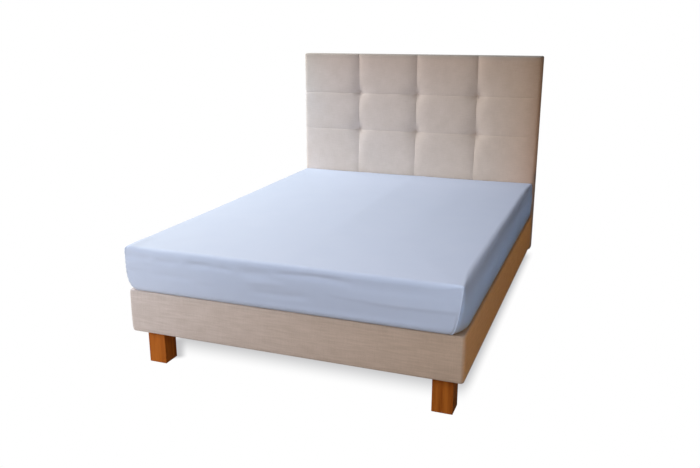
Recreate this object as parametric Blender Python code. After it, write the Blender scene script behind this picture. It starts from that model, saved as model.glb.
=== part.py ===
"""A fitted sheet stretched over a mattress, on an upholstered bed base with a tufted headboard.

Metres, +Z up. The bed's foot end faces -Y and its headboard stands at +Y. The origin is on the
floor, under the middle of the whole bed.
"""

from math import cos, exp, hypot, pi, radians, sin, sqrt
from typing import NamedTuple

import bmesh
import bpy
from mathutils import Vector
from mathutils.geometry import intersect_point_line

# Gaps that keep neighbouring solids apart.
TOUCH_GAP = 0.0003
EDGE_GAP = 0.0025

# Colours, as linear red, green and blue, and how an edge turns before it is shaded or bevelled.
COTTON_BLUE = (0.53, 0.60, 0.77)
TICKING_WHITE = (0.80, 0.79, 0.76)
LINEN_BEIGE = (0.58, 0.455, 0.41)
WOOD_BROWN = (0.42, 0.13, 0.02)
SHARP_ANGLE = radians(45)
BEVEL_ANGLE = radians(30)

# Wooden legs.
LEG_SIDE = 0.088
LEG_HEIGHT = 0.166
LEG_CHAMFER = 0.0015
LEG_INSET_END = 0.052
FRONT_LEG_INSET_SIDE = 0.0485
BACK_LEG_INSET_SIDE = 0.080

# Upholstered base.
BASE_WIDTH = 1.530
BASE_LENGTH = 1.986
BASE_HEIGHT = 0.200
BASE_CORNER_RADIUS = 0.012
BASE_CORNER_STEPS = 5
BASE_EDGE_RADIUS = 0.006
BASE_EDGE_STEPS = 3

# Headboard, with seams that pull its padding into columns and rows.
HEADBOARD_WIDTH = 1.540
HEADBOARD_THICKNESS = 0.090
HEADBOARD_BOTTOM = 0.142
HEADBOARD_TOP = 1.335
HEADBOARD_FACE_RADIUS = 0.016
HEADBOARD_BACK_CHAMFER = 0.004
TUFT_COLUMNS = 4
LEVEL_SEAM_HEIGHTS = (0.852, 1.094)
UPRIGHT_SEAM_END = 0.440
UPRIGHT_SEAM_FADE = 0.060
UPRIGHT_SEAM_DEPTH = 0.012
UPRIGHT_SEAM_REACH = 0.026
LEVEL_SEAM_DEPTH = 0.006
LEVEL_SEAM_REACH = 0.018
TUFT_DEPTH = 0.010
TUFT_REACH = 0.045
SEAM_GRID_STEPS = (0.006, 0.018, 0.045, 0.095)
ROUNDING_SHARES = (0.3, 1.0)

# Fitted sheet and the mattress inside it.
SHEET_WIDTH = 1.512
SHEET_OVERHANG = 0.022
SHEET_TOP = 0.5745
TOP_EDGE_RADIUS = 0.020
TOP_CROWN = 0.003
FOLD_START = 0.030
CREASE_RISE = 0.0022
CLOTH_THICKNESS = 0.002
HEM_THICKNESS = 0.004
HEM_WIDTH = 0.020
HEM_STEP = 0.003
TURN_UNDER = 0.100
SEAM_HALF_WIDTH = 0.004
SEAM_RISE = 0.0025
SEAM_ANGLE = radians(16)
MOST_SEAM_STEP = radians(13)
CORNER_ANGLES = (radians(38), radians(62), radians(90))
MATTRESS_SLACK = 0.0045
MATTRESS_EDGE_RADIUS = 0.024
MATTRESS_LOW_EDGE = 0.012
SMALLEST_MATTRESS_CURVE = 0.007

# How finely the sheet and the mattress are divided. TOP_RINGS are shares of the way out from the
# middle, and EDGE_ANGLES are degrees round the top's edge.
END_STEPS = 22
SIDE_STEPS = 20
CROWDING = 0.45
TOP_RINGS = (0.12, 0.35, 0.60, 0.82, 0.95)
EDGE_ANGLES = (0, 25, 50, 70)

# Where everything stands along the bed and above the floor.
TOTAL_LENGTH = SHEET_OVERHANG + BASE_LENGTH + TOUCH_GAP + HEADBOARD_THICKNESS
HEADBOARD_FACE = TOTAL_LENGTH / 2 - HEADBOARD_THICKNESS
BASE_BACK = HEADBOARD_FACE - TOUCH_GAP
BASE_FRONT = BASE_BACK - BASE_LENGTH
BASE_BOTTOM = LEG_HEIGHT + TOUCH_GAP
BASE_TOP = BASE_BOTTOM + BASE_HEIGHT


class Section(NamedTuple):
    """A level ring of the sheet: its height over the base, its reach past the nominal side, and
    how far each corner's curve runs across the bed's ends and along its sides."""

    rise: float
    spread: float
    left_across: float
    left_along: float
    right_across: float
    right_along: float
    head_curve: float


SIDE_SECTIONS = (
    Section(0.183, 0.0010, 0.007, 0.009, 0.006, 0.011, 0.012),
    Section(0.168, 0.0022, 0.009, 0.012, 0.010, 0.021, 0.015),
    Section(0.145, 0.0038, 0.012, 0.017, 0.016, 0.036, 0.018),
    Section(0.120, 0.0050, 0.014, 0.022, 0.023, 0.049, 0.022),
    Section(0.096, 0.0055, 0.016, 0.028, 0.029, 0.063, 0.026),
    Section(0.070, 0.0055, 0.019, 0.038, 0.035, 0.080, 0.030),
    Section(0.045, 0.0050, 0.025, 0.050, 0.041, 0.098, 0.036),
    Section(0.025, 0.0038, 0.035, 0.072, 0.048, 0.118, 0.044),
    Section(0.012, 0.0008, 0.048, 0.104, 0.062, 0.148, 0.056),
    Section(0.004, -0.0058, 0.062, 0.135, 0.076, 0.175, 0.070),
    Section(TOUCH_GAP, -0.0150, 0.070, 0.155, 0.086, 0.190, 0.080),
)
TOP_SECTION = SIDE_SECTIONS[0]
LOWEST_SECTION = SIDE_SECTIONS[-1]
WIDEST_SPREAD = max(section.spread for section in SIDE_SECTIONS)

# The sheet's nominal sides, which its sections spread from.
SHEET_SIDE = SHEET_WIDTH / 2
SHEET_FOOT = -TOTAL_LENGTH / 2 + WIDEST_SPREAD + CREASE_RISE
SHEET_HEAD = HEADBOARD_FACE - EDGE_GAP
SHEET_MIDDLE = (SHEET_FOOT + SHEET_HEAD) / 2


class Fold(NamedTuple):
    """A soft ridge, or a trough where rise is below 0, along a straight line on the sheet."""

    start: Vector
    end: Vector
    width: float
    rise: float


def on_foot(along, rise):
    """A point on the sheet's foot face."""
    return Vector((along, SHEET_FOOT, BASE_TOP + rise))


def on_side(side, along, rise):
    """A point on the sheet's right face (side 1) or left face (side -1)."""
    return Vector((side * SHEET_SIDE, along, BASE_TOP + rise))


def on_top(across, along):
    """A point on the sheet's top."""
    return Vector((across, along, SHEET_TOP))


FOLDS = (
    # Uneven hollows under the foot end's top edge.
    Fold(on_foot(-0.735, 0.170), on_foot(-0.620, 0.170), 0.022, -0.0026),
    Fold(on_foot(-0.450, 0.160), on_foot(-0.260, 0.162), 0.018, -0.0032),
    Fold(on_foot(-0.190, 0.158), on_foot(-0.060, 0.158), 0.018, -0.0030),
    Fold(on_foot(0.050, 0.166), on_foot(0.330, 0.166), 0.022, -0.0036),
    Fold(on_foot(0.410, 0.168), on_foot(0.540, 0.168), 0.018, -0.0020),
    # The level crease round the foot end, strongest to the right, with a hollow in its middle.
    Fold(on_foot(-0.735, 0.104), on_foot(-0.660, 0.108), 0.014, CREASE_RISE / 2),
    Fold(on_foot(-0.130, 0.092), on_foot(0.080, 0.094), 0.018, -0.0018),
    Fold(on_foot(0.220, 0.104), on_foot(0.380, 0.098), 0.018, CREASE_RISE / 2),
    Fold(on_foot(0.440, 0.098), on_foot(0.720, 0.102), 0.018, CREASE_RISE),
    # Pulls that run from the corners.
    Fold(on_foot(-0.575, 0.190), on_foot(-0.635, 0.140), 0.014, 0.0020),
    Fold(on_foot(-0.725, 0.085), on_foot(-0.700, 0.020), 0.014, 0.0020),
    Fold(on_side(1, -0.985, 0.135), on_side(1, -0.945, 0.020), 0.016, 0.0022),
    Fold(on_side(1, 0.84, 0.130), on_side(1, 0.78, 0.020), 0.024, 0.0015),
    Fold(on_side(-1, -0.93, 0.120), on_side(-1, -0.88, 0.020), 0.022, 0.0015),
    Fold(on_side(-1, 0.86, 0.140), on_side(-1, 0.80, 0.020), 0.024, 0.0015),
    # Long hollows along the sides, and the fuller lower right.
    Fold(on_side(1, -0.68, 0.158), on_side(1, -0.22, 0.156), 0.022, -0.0020),
    Fold(on_side(1, 0.02, 0.158), on_side(1, 0.58, 0.160), 0.022, -0.0018),
    Fold(on_side(1, -0.84, 0.046), on_side(1, 0.06, 0.046), 0.036, 0.0022),
    Fold(on_side(-1, -0.58, 0.158), on_side(-1, -0.12, 0.156), 0.024, -0.0024),
    Fold(on_side(-1, 0.46, 0.156), on_side(-1, 0.72, 0.160), 0.022, -0.0020),
    # The crease down the middle of the top.
    Fold(on_top(0.010, -0.58), on_top(0.025, 0.86), 0.060, 0.0024),
)


def material(name, colour, roughness):
    """A plain non-metal finish."""
    made = bpy.data.materials.new(name)
    made.use_nodes = True
    shader = made.node_tree.nodes["Principled BSDF"]
    shader.inputs["Base Color"].default_value = (*colour, 1.0)
    shader.inputs["Roughness"].default_value = roughness
    shader.inputs["Metallic"].default_value = 0.0
    return made


def add_object(name, mesh, finish, location=(0.0, 0.0, 0.0)):
    """Writes a bmesh to a new object and frees it."""
    bmesh.ops.recalc_face_normals(mesh, faces=mesh.faces)
    data = bpy.data.meshes.new(name)
    mesh.to_mesh(data)
    mesh.free()
    data.materials.append(finish)
    made = bpy.data.objects.new(name, data)
    made.location = location
    bpy.context.scene.collection.objects.link(made)
    return made


def smooth(made):
    """Shades an object smooth but for its sharp edges."""
    made.data.shade_smooth()
    made.data.set_sharp_from_angle(angle=SHARP_ANGLE)


# Level rings of the sheet and the mattress.


def crowded(step, steps):
    """A fraction from 0 to 1 whose even steps are closer together at both ends."""
    even = step / steps
    return even - CROWDING * sin(2 * pi * even) / (2 * pi)


def corner_angles(across, along):
    """The angles of a corner's points, from an end of the bed to its side, close by the seam."""
    speed = hypot(across * cos(SEAM_ANGLE), along * sin(SEAM_ANGLE))
    step = min(SEAM_HALF_WIDTH / speed, MOST_SEAM_STEP)
    return (0.0, SEAM_ANGLE - step, SEAM_ANGLE, SEAM_ANGLE + step, *CORNER_ANGLES)


def ring_points(spread, curves, inset=0.0, scale=1.0):
    """A level ring of the cloth, or of what lies inset from it, anticlockwise from above.

    It spreads beyond the sheet's nominal sides, but not past the headboard. curves are how far the
    corners' curves run across and along the bed: foot right, head right, head left, foot left.
    """
    side = SHEET_SIDE + spread - inset
    foot = SHEET_FOOT - spread + inset
    head = SHEET_HEAD + min(spread, 0.0) - inset
    corners = []
    for (across, along), sign_x, end, sign_y in zip(
        curves, (1, 1, -1, -1), (foot, head, head, foot), (-1, 1, 1, -1)
    ):
        points = [
            (sign_x * (side - across * (1 - sin(angle))), end - sign_y * along * (1 - cos(angle)))
            for angle in corner_angles(across, along)
        ]
        corners.append(points if sign_x * sign_y < 0 else points[::-1])
    ring = []
    for index, points in enumerate(corners):
        start, end = points[-1], corners[(index + 1) % 4][0]
        steps = (SIDE_STEPS, END_STEPS)[index % 2]
        ring += points
        for step in range(1, steps):
            share = crowded(step, steps)
            ring.append(
                (start[0] + (end[0] - start[0]) * share, start[1] + (end[1] - start[1]) * share)
            )
    return [(x * scale, SHEET_MIDDLE + (y - SHEET_MIDDLE) * scale) for x, y in ring]


def seam_numbers():
    """The places in a ring of the four corner seams."""
    angles = corner_angles(1.0, 1.0)
    seam = angles.index(SEAM_ANGLE)
    numbers = []
    start = 0
    for index in range(4):
        numbers.append(start + (seam if index % 2 == 0 else len(angles) - 1 - seam))
        start += len(angles) + (SIDE_STEPS, END_STEPS)[index % 2] - 1
    return numbers


def section_curves(section, inset=0.0):
    """A section's four corner curves, smaller by inset."""
    curves = (
        (section.right_across, section.right_along),
        (section.head_curve, section.head_curve),
        (section.head_curve, section.head_curve),
        (section.left_across, section.left_along),
    )
    return [[max(reach - inset, SMALLEST_MATTRESS_CURVE) for reach in curve] for curve in curves]


def crown(scale):
    """How far the top lies under its middle, at the ring of this scale."""
    return TOP_CROWN * scale**2


def add_ring(mesh, points, height):
    """A ring of vertices at one height."""
    return [mesh.verts.new((x, y, height)) for x, y in points]


def join_rings(mesh, upper, lower):
    """Faces between two rings, pointing outwards where the lower ring is below or outside."""
    for index, start in enumerate(upper):
        following = (index + 1) % len(upper)
        mesh.faces.new((start, lower[index], lower[following], upper[following]))


def add_cap(mesh, ring, height):
    """Closes a ring with a fan to a point in its middle."""
    pole = mesh.verts.new((0.0, SHEET_MIDDLE, height))
    for index, start in enumerate(ring):
        mesh.faces.new((start, ring[(index + 1) % len(ring)], pole))


def top_rings(mesh, top, inset, edge_radius):
    """The rings of a crowned top and of its rounded edge, from the middle outwards."""
    curves = section_curves(TOP_SECTION, inset)
    spread = TOP_SECTION.spread
    rings = []
    for scale in TOP_RINGS:
        points = ring_points(spread, curves, inset + edge_radius, scale)
        rings.append(add_ring(mesh, points, top - crown(scale)))
    for angle in EDGE_ANGLES:
        short = edge_radius * (1 - sin(radians(angle)))
        height = top - crown(1.0) - edge_radius * (1 - cos(radians(angle)))
        rings.append(add_ring(mesh, ring_points(spread, curves, inset + short), height))
    return rings


def fold_rise(point):
    """How far the folds lift the cloth at this point. They end where it meets the base."""
    lifted = 0.0
    for fold in FOLDS:
        nearest, share = intersect_point_line(point, fold.start, fold.end)
        if share < 0:
            nearest = fold.start
        elif share > 1:
            nearest = fold.end
        lifted += fold.rise * exp(-(((point - nearest).length / fold.width) ** 2))
    return lifted * min((point.z - BASE_TOP - TOUCH_GAP) / FOLD_START, 1.0)


def build_sheet():
    """The fitted sheet: top, sides and the hem turned under the mattress, open underneath."""
    mesh = bmesh.new()
    rings = top_rings(mesh, SHEET_TOP, 0.0, TOP_EDGE_RADIUS)
    seam_rings = rings[len(TOP_RINGS) + 1 :]
    for section in SIDE_SECTIONS:
        points = ring_points(section.spread, section_curves(section))
        rings.append(add_ring(mesh, points, BASE_TOP + section.rise))
    seam_rings += rings[-len(SIDE_SECTIONS) : -1]
    hem_edge = TURN_UNDER - HEM_WIDTH
    for inset in (hem_edge - HEM_STEP, hem_edge, TURN_UNDER):
        points = ring_points(0.0, section_curves(LOWEST_SECTION), inset)
        rings.append(add_ring(mesh, points, BASE_TOP + TOUCH_GAP))
    add_cap(mesh, rings[0], SHEET_TOP)
    for upper, lower in zip(rings, rings[1:]):
        join_rings(mesh, upper, lower)
    mesh.normal_update()
    moves = [(vertex, vertex.normal * fold_rise(vertex.co)) for vertex in mesh.verts]
    for ring in seam_rings:
        moves += [(ring[number], ring[number].normal * SEAM_RISE) for number in seam_numbers()]
    for vertex, move in moves:
        vertex.co += move
    mesh.verts.index_update()
    hem = [vertex.index for ring in rings[-2:] for vertex in ring]
    everything = [vertex.index for vertex in mesh.verts]
    made = add_object("fitted_sheet", mesh, material("sheet_cotton", COTTON_BLUE, 0.85))
    thickness = made.vertex_groups.new(name="thickness")
    thickness.add(everything, CLOTH_THICKNESS / HEM_THICKNESS, "REPLACE")
    thickness.add(hem, 1.0, "REPLACE")
    shell = made.modifiers.new("cloth_thickness", "SOLIDIFY")
    shell.thickness = HEM_THICKNESS
    shell.offset = -1.0
    shell.vertex_group = thickness.name
    smooth(made)


def build_mattress():
    """The mattress that fills the sheet, a little smaller all round and resting on its hem."""
    inset = CLOTH_THICKNESS + MATTRESS_SLACK
    mesh = bmesh.new()
    top = SHEET_TOP - CLOTH_THICKNESS - TOUCH_GAP
    bottom = BASE_TOP + 2 * TOUCH_GAP + HEM_THICKNESS
    rings = top_rings(mesh, top, inset, MATTRESS_EDGE_RADIUS)
    for section in SIDE_SECTIONS[1:-3]:
        points = ring_points(section.spread, section_curves(section, inset), inset)
        rings.append(add_ring(mesh, points, BASE_TOP + section.rise))
    for height, share in ((bottom + MATTRESS_LOW_EDGE, 1), (bottom, 2)):
        points = ring_points(0.0, section_curves(LOWEST_SECTION), share * MATTRESS_LOW_EDGE)
        rings.append(add_ring(mesh, points, height))
    add_cap(mesh, rings[0], top)
    for upper, lower in zip(rings, rings[1:]):
        join_rings(mesh, upper, lower)
    add_cap(mesh, rings[-1][::-1], bottom)
    smooth(add_object("mattress", mesh, material("mattress_ticking", TICKING_WHITE, 0.9)))


def block(size):
    """A block of this size about its own centre."""
    mesh = bmesh.new()
    bmesh.ops.create_cube(mesh, size=1.0)
    bmesh.ops.scale(mesh, vec=size, verts=mesh.verts)
    return mesh


def add_bevel(made, width, segments):
    """Rounds the edges that turn by more than the bevel angle."""
    bevel = made.modifiers.new("edge", "BEVEL")
    bevel.width = width
    bevel.segments = segments
    bevel.limit_method = "ANGLE"
    bevel.angle_limit = BEVEL_ANGLE


def build_base():
    """The upholstered box, with its upright corners rounder than its level edges."""
    centre = (0.0, (BASE_FRONT + BASE_BACK) / 2, BASE_BOTTOM + BASE_HEIGHT / 2)
    mesh = block((BASE_WIDTH, BASE_LENGTH, BASE_HEIGHT))
    bmesh.ops.bevel(
        mesh,
        geom=[edge for edge in mesh.edges if edge.verts[0].co.xy == edge.verts[1].co.xy],
        offset=BASE_CORNER_RADIUS,
        segments=BASE_CORNER_STEPS,
        profile=0.5,
        affect="EDGES",
    )
    made = add_object("bed_base", mesh, material("base_upholstery", LINEN_BEIGE, 0.9), centre)
    add_bevel(made, BASE_EDGE_RADIUS, BASE_EDGE_STEPS)
    smooth(made)


def seam_lines(seams, low, high):
    """Grid lines from low to high that crowd about each seam and follow the rounded ends."""
    spaces = [low, *seams, high]
    lines = set(spaces)
    for share in ROUNDING_SHARES:
        lines |= {low + share * HEADBOARD_FACE_RADIUS, high - share * HEADBOARD_FACE_RADIUS}
    for seam in seams:
        for step in SEAM_GRID_STEPS:
            lines |= {seam - step, seam + step}
    for start, end in zip(spaces, spaces[1:]):
        lines.add((start + end) / 2)
    return sorted(line for line in lines if low <= line <= high)


def dip(distance, depth, reach):
    """How far a seam draws its padding in, at a distance from it."""
    return depth * exp(-abs(distance) / reach)


def rounding(distance):
    """How far the face has turned back, at a distance from the panel's edge."""
    if distance >= HEADBOARD_FACE_RADIUS:
        return 0.0
    left = HEADBOARD_FACE_RADIUS - distance
    return HEADBOARD_FACE_RADIUS - sqrt(HEADBOARD_FACE_RADIUS**2 - left**2)


def headboard_dip(x, height, upright_seams):
    """How far the headboard's face lies behind its crowns."""
    across = min(abs(x - seam) for seam in upright_seams)
    level = min(abs(height - seam) for seam in LEVEL_SEAM_HEIGHTS)
    fade = min(max((height - UPRIGHT_SEAM_END) / UPRIGHT_SEAM_FADE, 0.0), 1.0)
    upright_dip = dip(across, UPRIGHT_SEAM_DEPTH, UPRIGHT_SEAM_REACH)
    tuft_dip = dip(hypot(across, level), TUFT_DEPTH, TUFT_REACH)
    padding = fade * (upright_dip + dip(level, LEVEL_SEAM_DEPTH, LEVEL_SEAM_REACH) + tuft_dip)
    edge = min(HEADBOARD_WIDTH / 2 - abs(x), HEADBOARD_TOP - height, height - HEADBOARD_BOTTOM)
    return padding + rounding(edge)


def build_headboard():
    """The upholstered panel: a tufted face on a grid, straight sides and a flat back."""
    half = HEADBOARD_WIDTH / 2
    pitch = HEADBOARD_WIDTH / TUFT_COLUMNS
    upright_seams = [column * pitch - half for column in range(1, TUFT_COLUMNS)]
    across = seam_lines(upright_seams, -half, half)
    heights = seam_lines(LEVEL_SEAM_HEIGHTS, HEADBOARD_BOTTOM, HEADBOARD_TOP)
    heights = sorted({*heights, UPRIGHT_SEAM_END, UPRIGHT_SEAM_END + UPRIGHT_SEAM_FADE})
    mesh = bmesh.new()
    grid = [
        [
            mesh.verts.new((x, HEADBOARD_FACE + headboard_dip(x, height, upright_seams), height))
            for x in across
        ]
        for height in heights
    ]
    for lower, upper in zip(grid, grid[1:]):
        for index in range(len(across) - 1):
            mesh.faces.new((lower[index], lower[index + 1], upper[index + 1], upper[index]))
    rim = grid[0] + [row[-1] for row in grid[1:-1]] + grid[-1][::-1]
    rim += [row[0] for row in reversed(grid[1:-1])]
    back = HEADBOARD_FACE + HEADBOARD_THICKNESS
    chamfer = HEADBOARD_BACK_CHAMFER
    middle = (HEADBOARD_BOTTOM + HEADBOARD_TOP) / 2
    across_share = 1 - chamfer / half
    height_share = 1 - chamfer / ((HEADBOARD_TOP - HEADBOARD_BOTTOM) / 2)
    sides = [mesh.verts.new((start.co.x, back - chamfer, start.co.z)) for start in rim]
    ends = [
        mesh.verts.new(
            (start.co.x * across_share, back, middle + (start.co.z - middle) * height_share)
        )
        for start in rim
    ]
    join_rings(mesh, rim, sides)
    join_rings(mesh, sides, ends)
    mesh.faces.new(ends)
    smooth(add_object("headboard", mesh, material("headboard_upholstery", LINEN_BEIGE, 0.9)))


def build_legs():
    """The four square blocks under the base's corners."""
    wood = material("leg_wood", WOOD_BROWN, 0.45)
    ends = (
        ("front", BASE_FRONT + LEG_INSET_END + LEG_SIDE / 2, FRONT_LEG_INSET_SIDE),
        ("back", BASE_BACK - LEG_INSET_END - LEG_SIDE / 2, BACK_LEG_INSET_SIDE),
    )
    for end, y, inset in ends:
        for side, sign in (("left", -1), ("right", 1)):
            centre = (sign * (BASE_WIDTH / 2 - inset - LEG_SIDE / 2), y, LEG_HEIGHT / 2)
            leg = block((LEG_SIDE, LEG_SIDE, LEG_HEIGHT))
            add_bevel(add_object(f"leg_{end}_{side}", leg, wood, centre), LEG_CHAMFER, 1)


def main():
    """Clears the scene and builds every piece."""
    for old in list(bpy.data.objects):
        bpy.data.objects.remove(old)
    build_sheet()
    build_mattress()
    build_base()
    build_headboard()
    build_legs()


main()
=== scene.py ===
"""The looks of a fitted sheet on its mattress, and of the upholstered bed that carries them.

Metres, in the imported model's own frame: the bed's foot end faces -Y, its headboard stands at +Y,
+X is the right of someone who looks from the foot end at the headboard, and +Z is up.

Every soft body here is one cloak: a front grid, bands of rings that run on from its border, and
sometimes a back grid that closes it. The sheet, the mattress and the base are cloaks seen from
above, and the headboard is one seen from the front.
"""

import logging
from dataclasses import dataclass, field
from enum import Enum

import bpy
import numpy as np
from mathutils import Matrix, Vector


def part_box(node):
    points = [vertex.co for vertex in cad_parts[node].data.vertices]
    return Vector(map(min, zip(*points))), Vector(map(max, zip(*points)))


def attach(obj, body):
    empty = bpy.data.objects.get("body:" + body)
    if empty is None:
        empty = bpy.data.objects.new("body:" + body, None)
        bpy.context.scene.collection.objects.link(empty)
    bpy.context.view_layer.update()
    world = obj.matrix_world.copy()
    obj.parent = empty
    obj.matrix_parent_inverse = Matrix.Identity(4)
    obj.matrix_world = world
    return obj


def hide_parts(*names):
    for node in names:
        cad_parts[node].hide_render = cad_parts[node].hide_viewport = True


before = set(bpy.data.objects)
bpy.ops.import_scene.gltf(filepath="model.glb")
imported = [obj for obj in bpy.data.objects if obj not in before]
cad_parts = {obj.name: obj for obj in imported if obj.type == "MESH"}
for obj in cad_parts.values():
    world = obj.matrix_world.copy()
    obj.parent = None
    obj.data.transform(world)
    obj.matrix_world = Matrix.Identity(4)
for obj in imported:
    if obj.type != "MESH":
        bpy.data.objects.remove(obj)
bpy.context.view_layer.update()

Colour = tuple[float, float, float]
Point = tuple[float, float, float]

LOG = logging.getLogger("bed")

# The imported model's one body.
ROOT_BODY = "root"

# The UV map, in metres of cloth, that each soft piece carries.
CLOTH_MAP = "cloth"

# The gap that keeps the sheet's hem off the base.
REST_GAP = 0.0003

WHITE: Colour = (1.0, 1.0, 1.0)


# Shader building ---------------------------------------------------------------------------------


@dataclass(frozen=True)
class Signal:
    """The value on a node's output. Python's operators on it add Math nodes beside it."""

    bench: "DyeBench"
    socket: bpy.types.NodeSocket

    def _math(self, operation: str, *values: "float | Signal") -> "Signal":
        """Adds one Math node.

        Args:
            operation: The Math node's operation.
            values: Its inputs, in order.

        Returns:
            The node's result.
        """
        return self.bench.add("ShaderNodeMath", {"operation": operation}, dict(enumerate(values)))

    def __add__(self, other: "float | Signal") -> "Signal":
        """This signal plus another value."""
        return self._math("ADD", self, other)

    def __radd__(self, other: float) -> "Signal":
        """A number plus this signal."""
        return self._math("ADD", other, self)

    def __sub__(self, other: "float | Signal") -> "Signal":
        """This signal less another value."""
        return self._math("SUBTRACT", self, other)

    def __rsub__(self, other: float) -> "Signal":
        """A number less this signal."""
        return self._math("SUBTRACT", other, self)

    def __mul__(self, other: "float | Signal") -> "Signal":
        """This signal times another value."""
        return self._math("MULTIPLY", self, other)

    def __rmul__(self, other: float) -> "Signal":
        """A number times this signal."""
        return self._math("MULTIPLY", other, self)

    def __truediv__(self, other: "float | Signal") -> "Signal":
        """This signal over another value."""
        return self._math("DIVIDE", self, other)

    def __rtruediv__(self, other: float) -> "Signal":
        """A number over this signal."""
        return self._math("DIVIDE", other, self)

    def sine(self) -> "Signal":
        """The sine of this signal, which is in radians."""
        return self._math("SINE", self)

    def size(self) -> "Signal":
        """This signal without its sign."""
        return self._math("ABSOLUTE", self)

    def clipped(self) -> "Signal":
        """This signal held between 0 and 1."""
        return self._math("MINIMUM", self._math("MAXIMUM", self, 0.0), 1.0)

    def raised(self) -> "Signal":
        """This signal moved from -1 to 1 onto 0 to 1."""
        return self * 0.5 + 0.5

    def eased(self) -> "Signal":
        """This signal held from 0 to 1 and eased in and out: 3 share squared less 2 share cubed."""
        held = self.clipped()
        return held * held * (3 - held * 2)


class Way(Enum):
    """The way in which a fade runs."""

    ACROSS = 0
    ALONG = 1
    UP = 2


Ramp = tuple[Way, float, float]


@dataclass(frozen=True)
class PaintedShade:
    """A soft painted light or shade on a cloth, whose colour multiplies the cloth's.

    Each ramp has its way, where it starts and where it is full. A fade's share is their product.
    """

    colour: Colour
    ramps: tuple[Ramp, ...]


class DyeBench:
    """A new material and the nodes that give it its colour and surface."""

    def __init__(self, name: str) -> None:
        """Starts a material with its own Principled shader.

        Args:
            name: The material's name.
        """
        self.material = bpy.data.materials.new(name)
        self.material.use_nodes = True
        self.tree = self.material.node_tree
        self.shader = self.tree.nodes["Principled BSDF"]
        self.output = self.tree.nodes["Material Output"]

    def add(
        self,
        kind: str,
        settings: dict[str, object] | None = None,
        inputs: dict[str | int, object] | None = None,
        output: str | int = 0,
    ) -> Signal:
        """Adds any node, sets it and feeds it.

        Args:
            kind: The node's type.
            settings: Its properties, which are set first.
            inputs: Values or signals for its sockets, by name or number.
            output: Which of its outputs to hand back.

        Returns:
            The signal on that output.
        """
        node = self.tree.nodes.new(kind)
        for name, value in (settings or {}).items():
            setattr(node, name, value)
        for key, value in (inputs or {}).items():
            if isinstance(value, Signal):
                self.tree.links.new(value.socket, node.inputs[key])
            else:
                node.inputs[key].default_value = value
        return Signal(self, node.outputs[output])

    def _parts(self, place: Signal) -> tuple[Signal, ...]:
        """A vector's three values."""
        split = self.add("ShaderNodeSeparateXYZ", {}, {0: place})
        return tuple(Signal(self, socket) for socket in split.socket.node.outputs)

    def cloth_place(self) -> tuple[Signal, ...]:
        """Where a point lies on the cloth: metres along its width and along its length."""
        return self._parts(self.add("ShaderNodeUVMap", {"uv_map": CLOTH_MAP}))[:2]

    def object_place(self) -> tuple[Signal, ...]:
        """Where a point lies in its object: metres along X, Y and Z."""
        return self._parts(self.add("ShaderNodeTexCoord", {}, {}, "Object"))

    def noise(
        self, places: tuple[Signal, ...], sizes: tuple[float, ...], detail: float = 2.0
    ) -> Signal:
        """Smooth noise from 0 to 1, whose lumps may be longer one way than another.

        Args:
            places: Where a point lies each way, in metres.
            sizes: How large a lump is each way, in metres.
            detail: Octaves of finer noise.

        Returns:
            The noise.
        """
        lumps = {way: place / size for way, (place, size) in enumerate(zip(places, sizes))}
        drawn = self.add("ShaderNodeCombineXYZ", {}, lumps)
        return self.add("ShaderNodeTexNoise", {}, {"Vector": drawn, "Scale": 1.0, "Detail": detail})

    def mixed(
        self, share: "float | Signal", first: object, second: object, blend: str = "MIX"
    ) -> Signal:
        """A mix of two colours.

        Args:
            share: How much of the second colour there is, from 0 to 1.
            first: A colour or a signal of one.
            second: A colour or a signal of one.
            blend: The Mix node's blend type.

        Returns:
            The mixed colour.
        """
        colours = [c if isinstance(c, Signal) else (*c, 1.0) for c in (first, second)]
        inputs = {0: share, 6: colours[0], 7: colours[1]}
        return self.add("ShaderNodeMix", {"data_type": "RGBA", "blend_type": blend}, inputs, 2)

    def with_painted_shading(self, colour: Signal, fades: tuple[PaintedShade, ...]) -> Signal:
        """Paints light and shade on a colour: multiplies it by each painted shade's colour, by its
        share.

        Args:
            colour: The colour that light and shade are painted on.
            fades: The painted light and shade.

        Returns:
            The colour with its painted light and shade.
        """
        place = self.object_place()
        for fade in fades:
            share = 1.0
            for way, none, full in fade.ramps:
                share = ((place[way.value] - none) / (full - none)).clipped() * share
            colour = self.mixed(share, colour, fade.colour, "MULTIPLY")
        return colour

    def bumped(self, height: Signal, depth: float, under: Signal | None = None) -> Signal:
        """The normal of a surface raised by a signal.

        Args:
            height: The relief, from 0 to 1.
            depth: What 1 stands for, in metres.
            under: A normal that this one is laid on.

        Returns:
            The new normal.
        """
        inputs = {"Height": height, "Distance": depth, "Strength": 1.0}
        if under is not None:
            inputs["Normal"] = under
        return self.add("ShaderNodeBump", {}, inputs)

    def dress(self, **sockets: object) -> bpy.types.Material:
        """Feeds the Principled shader, whose socket names are written with underscores here.

        Args:
            sockets: Values or signals by socket.

        Returns:
            The finished material.
        """
        for name, value in sockets.items():
            socket = self.shader.inputs[name.replace("_", " ")]
            if isinstance(value, Signal):
                self.tree.links.new(value.socket, socket)
            else:
                socket.default_value = value
        return self.material


# Finishes ----------------------------------------------------------------------------------------


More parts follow.
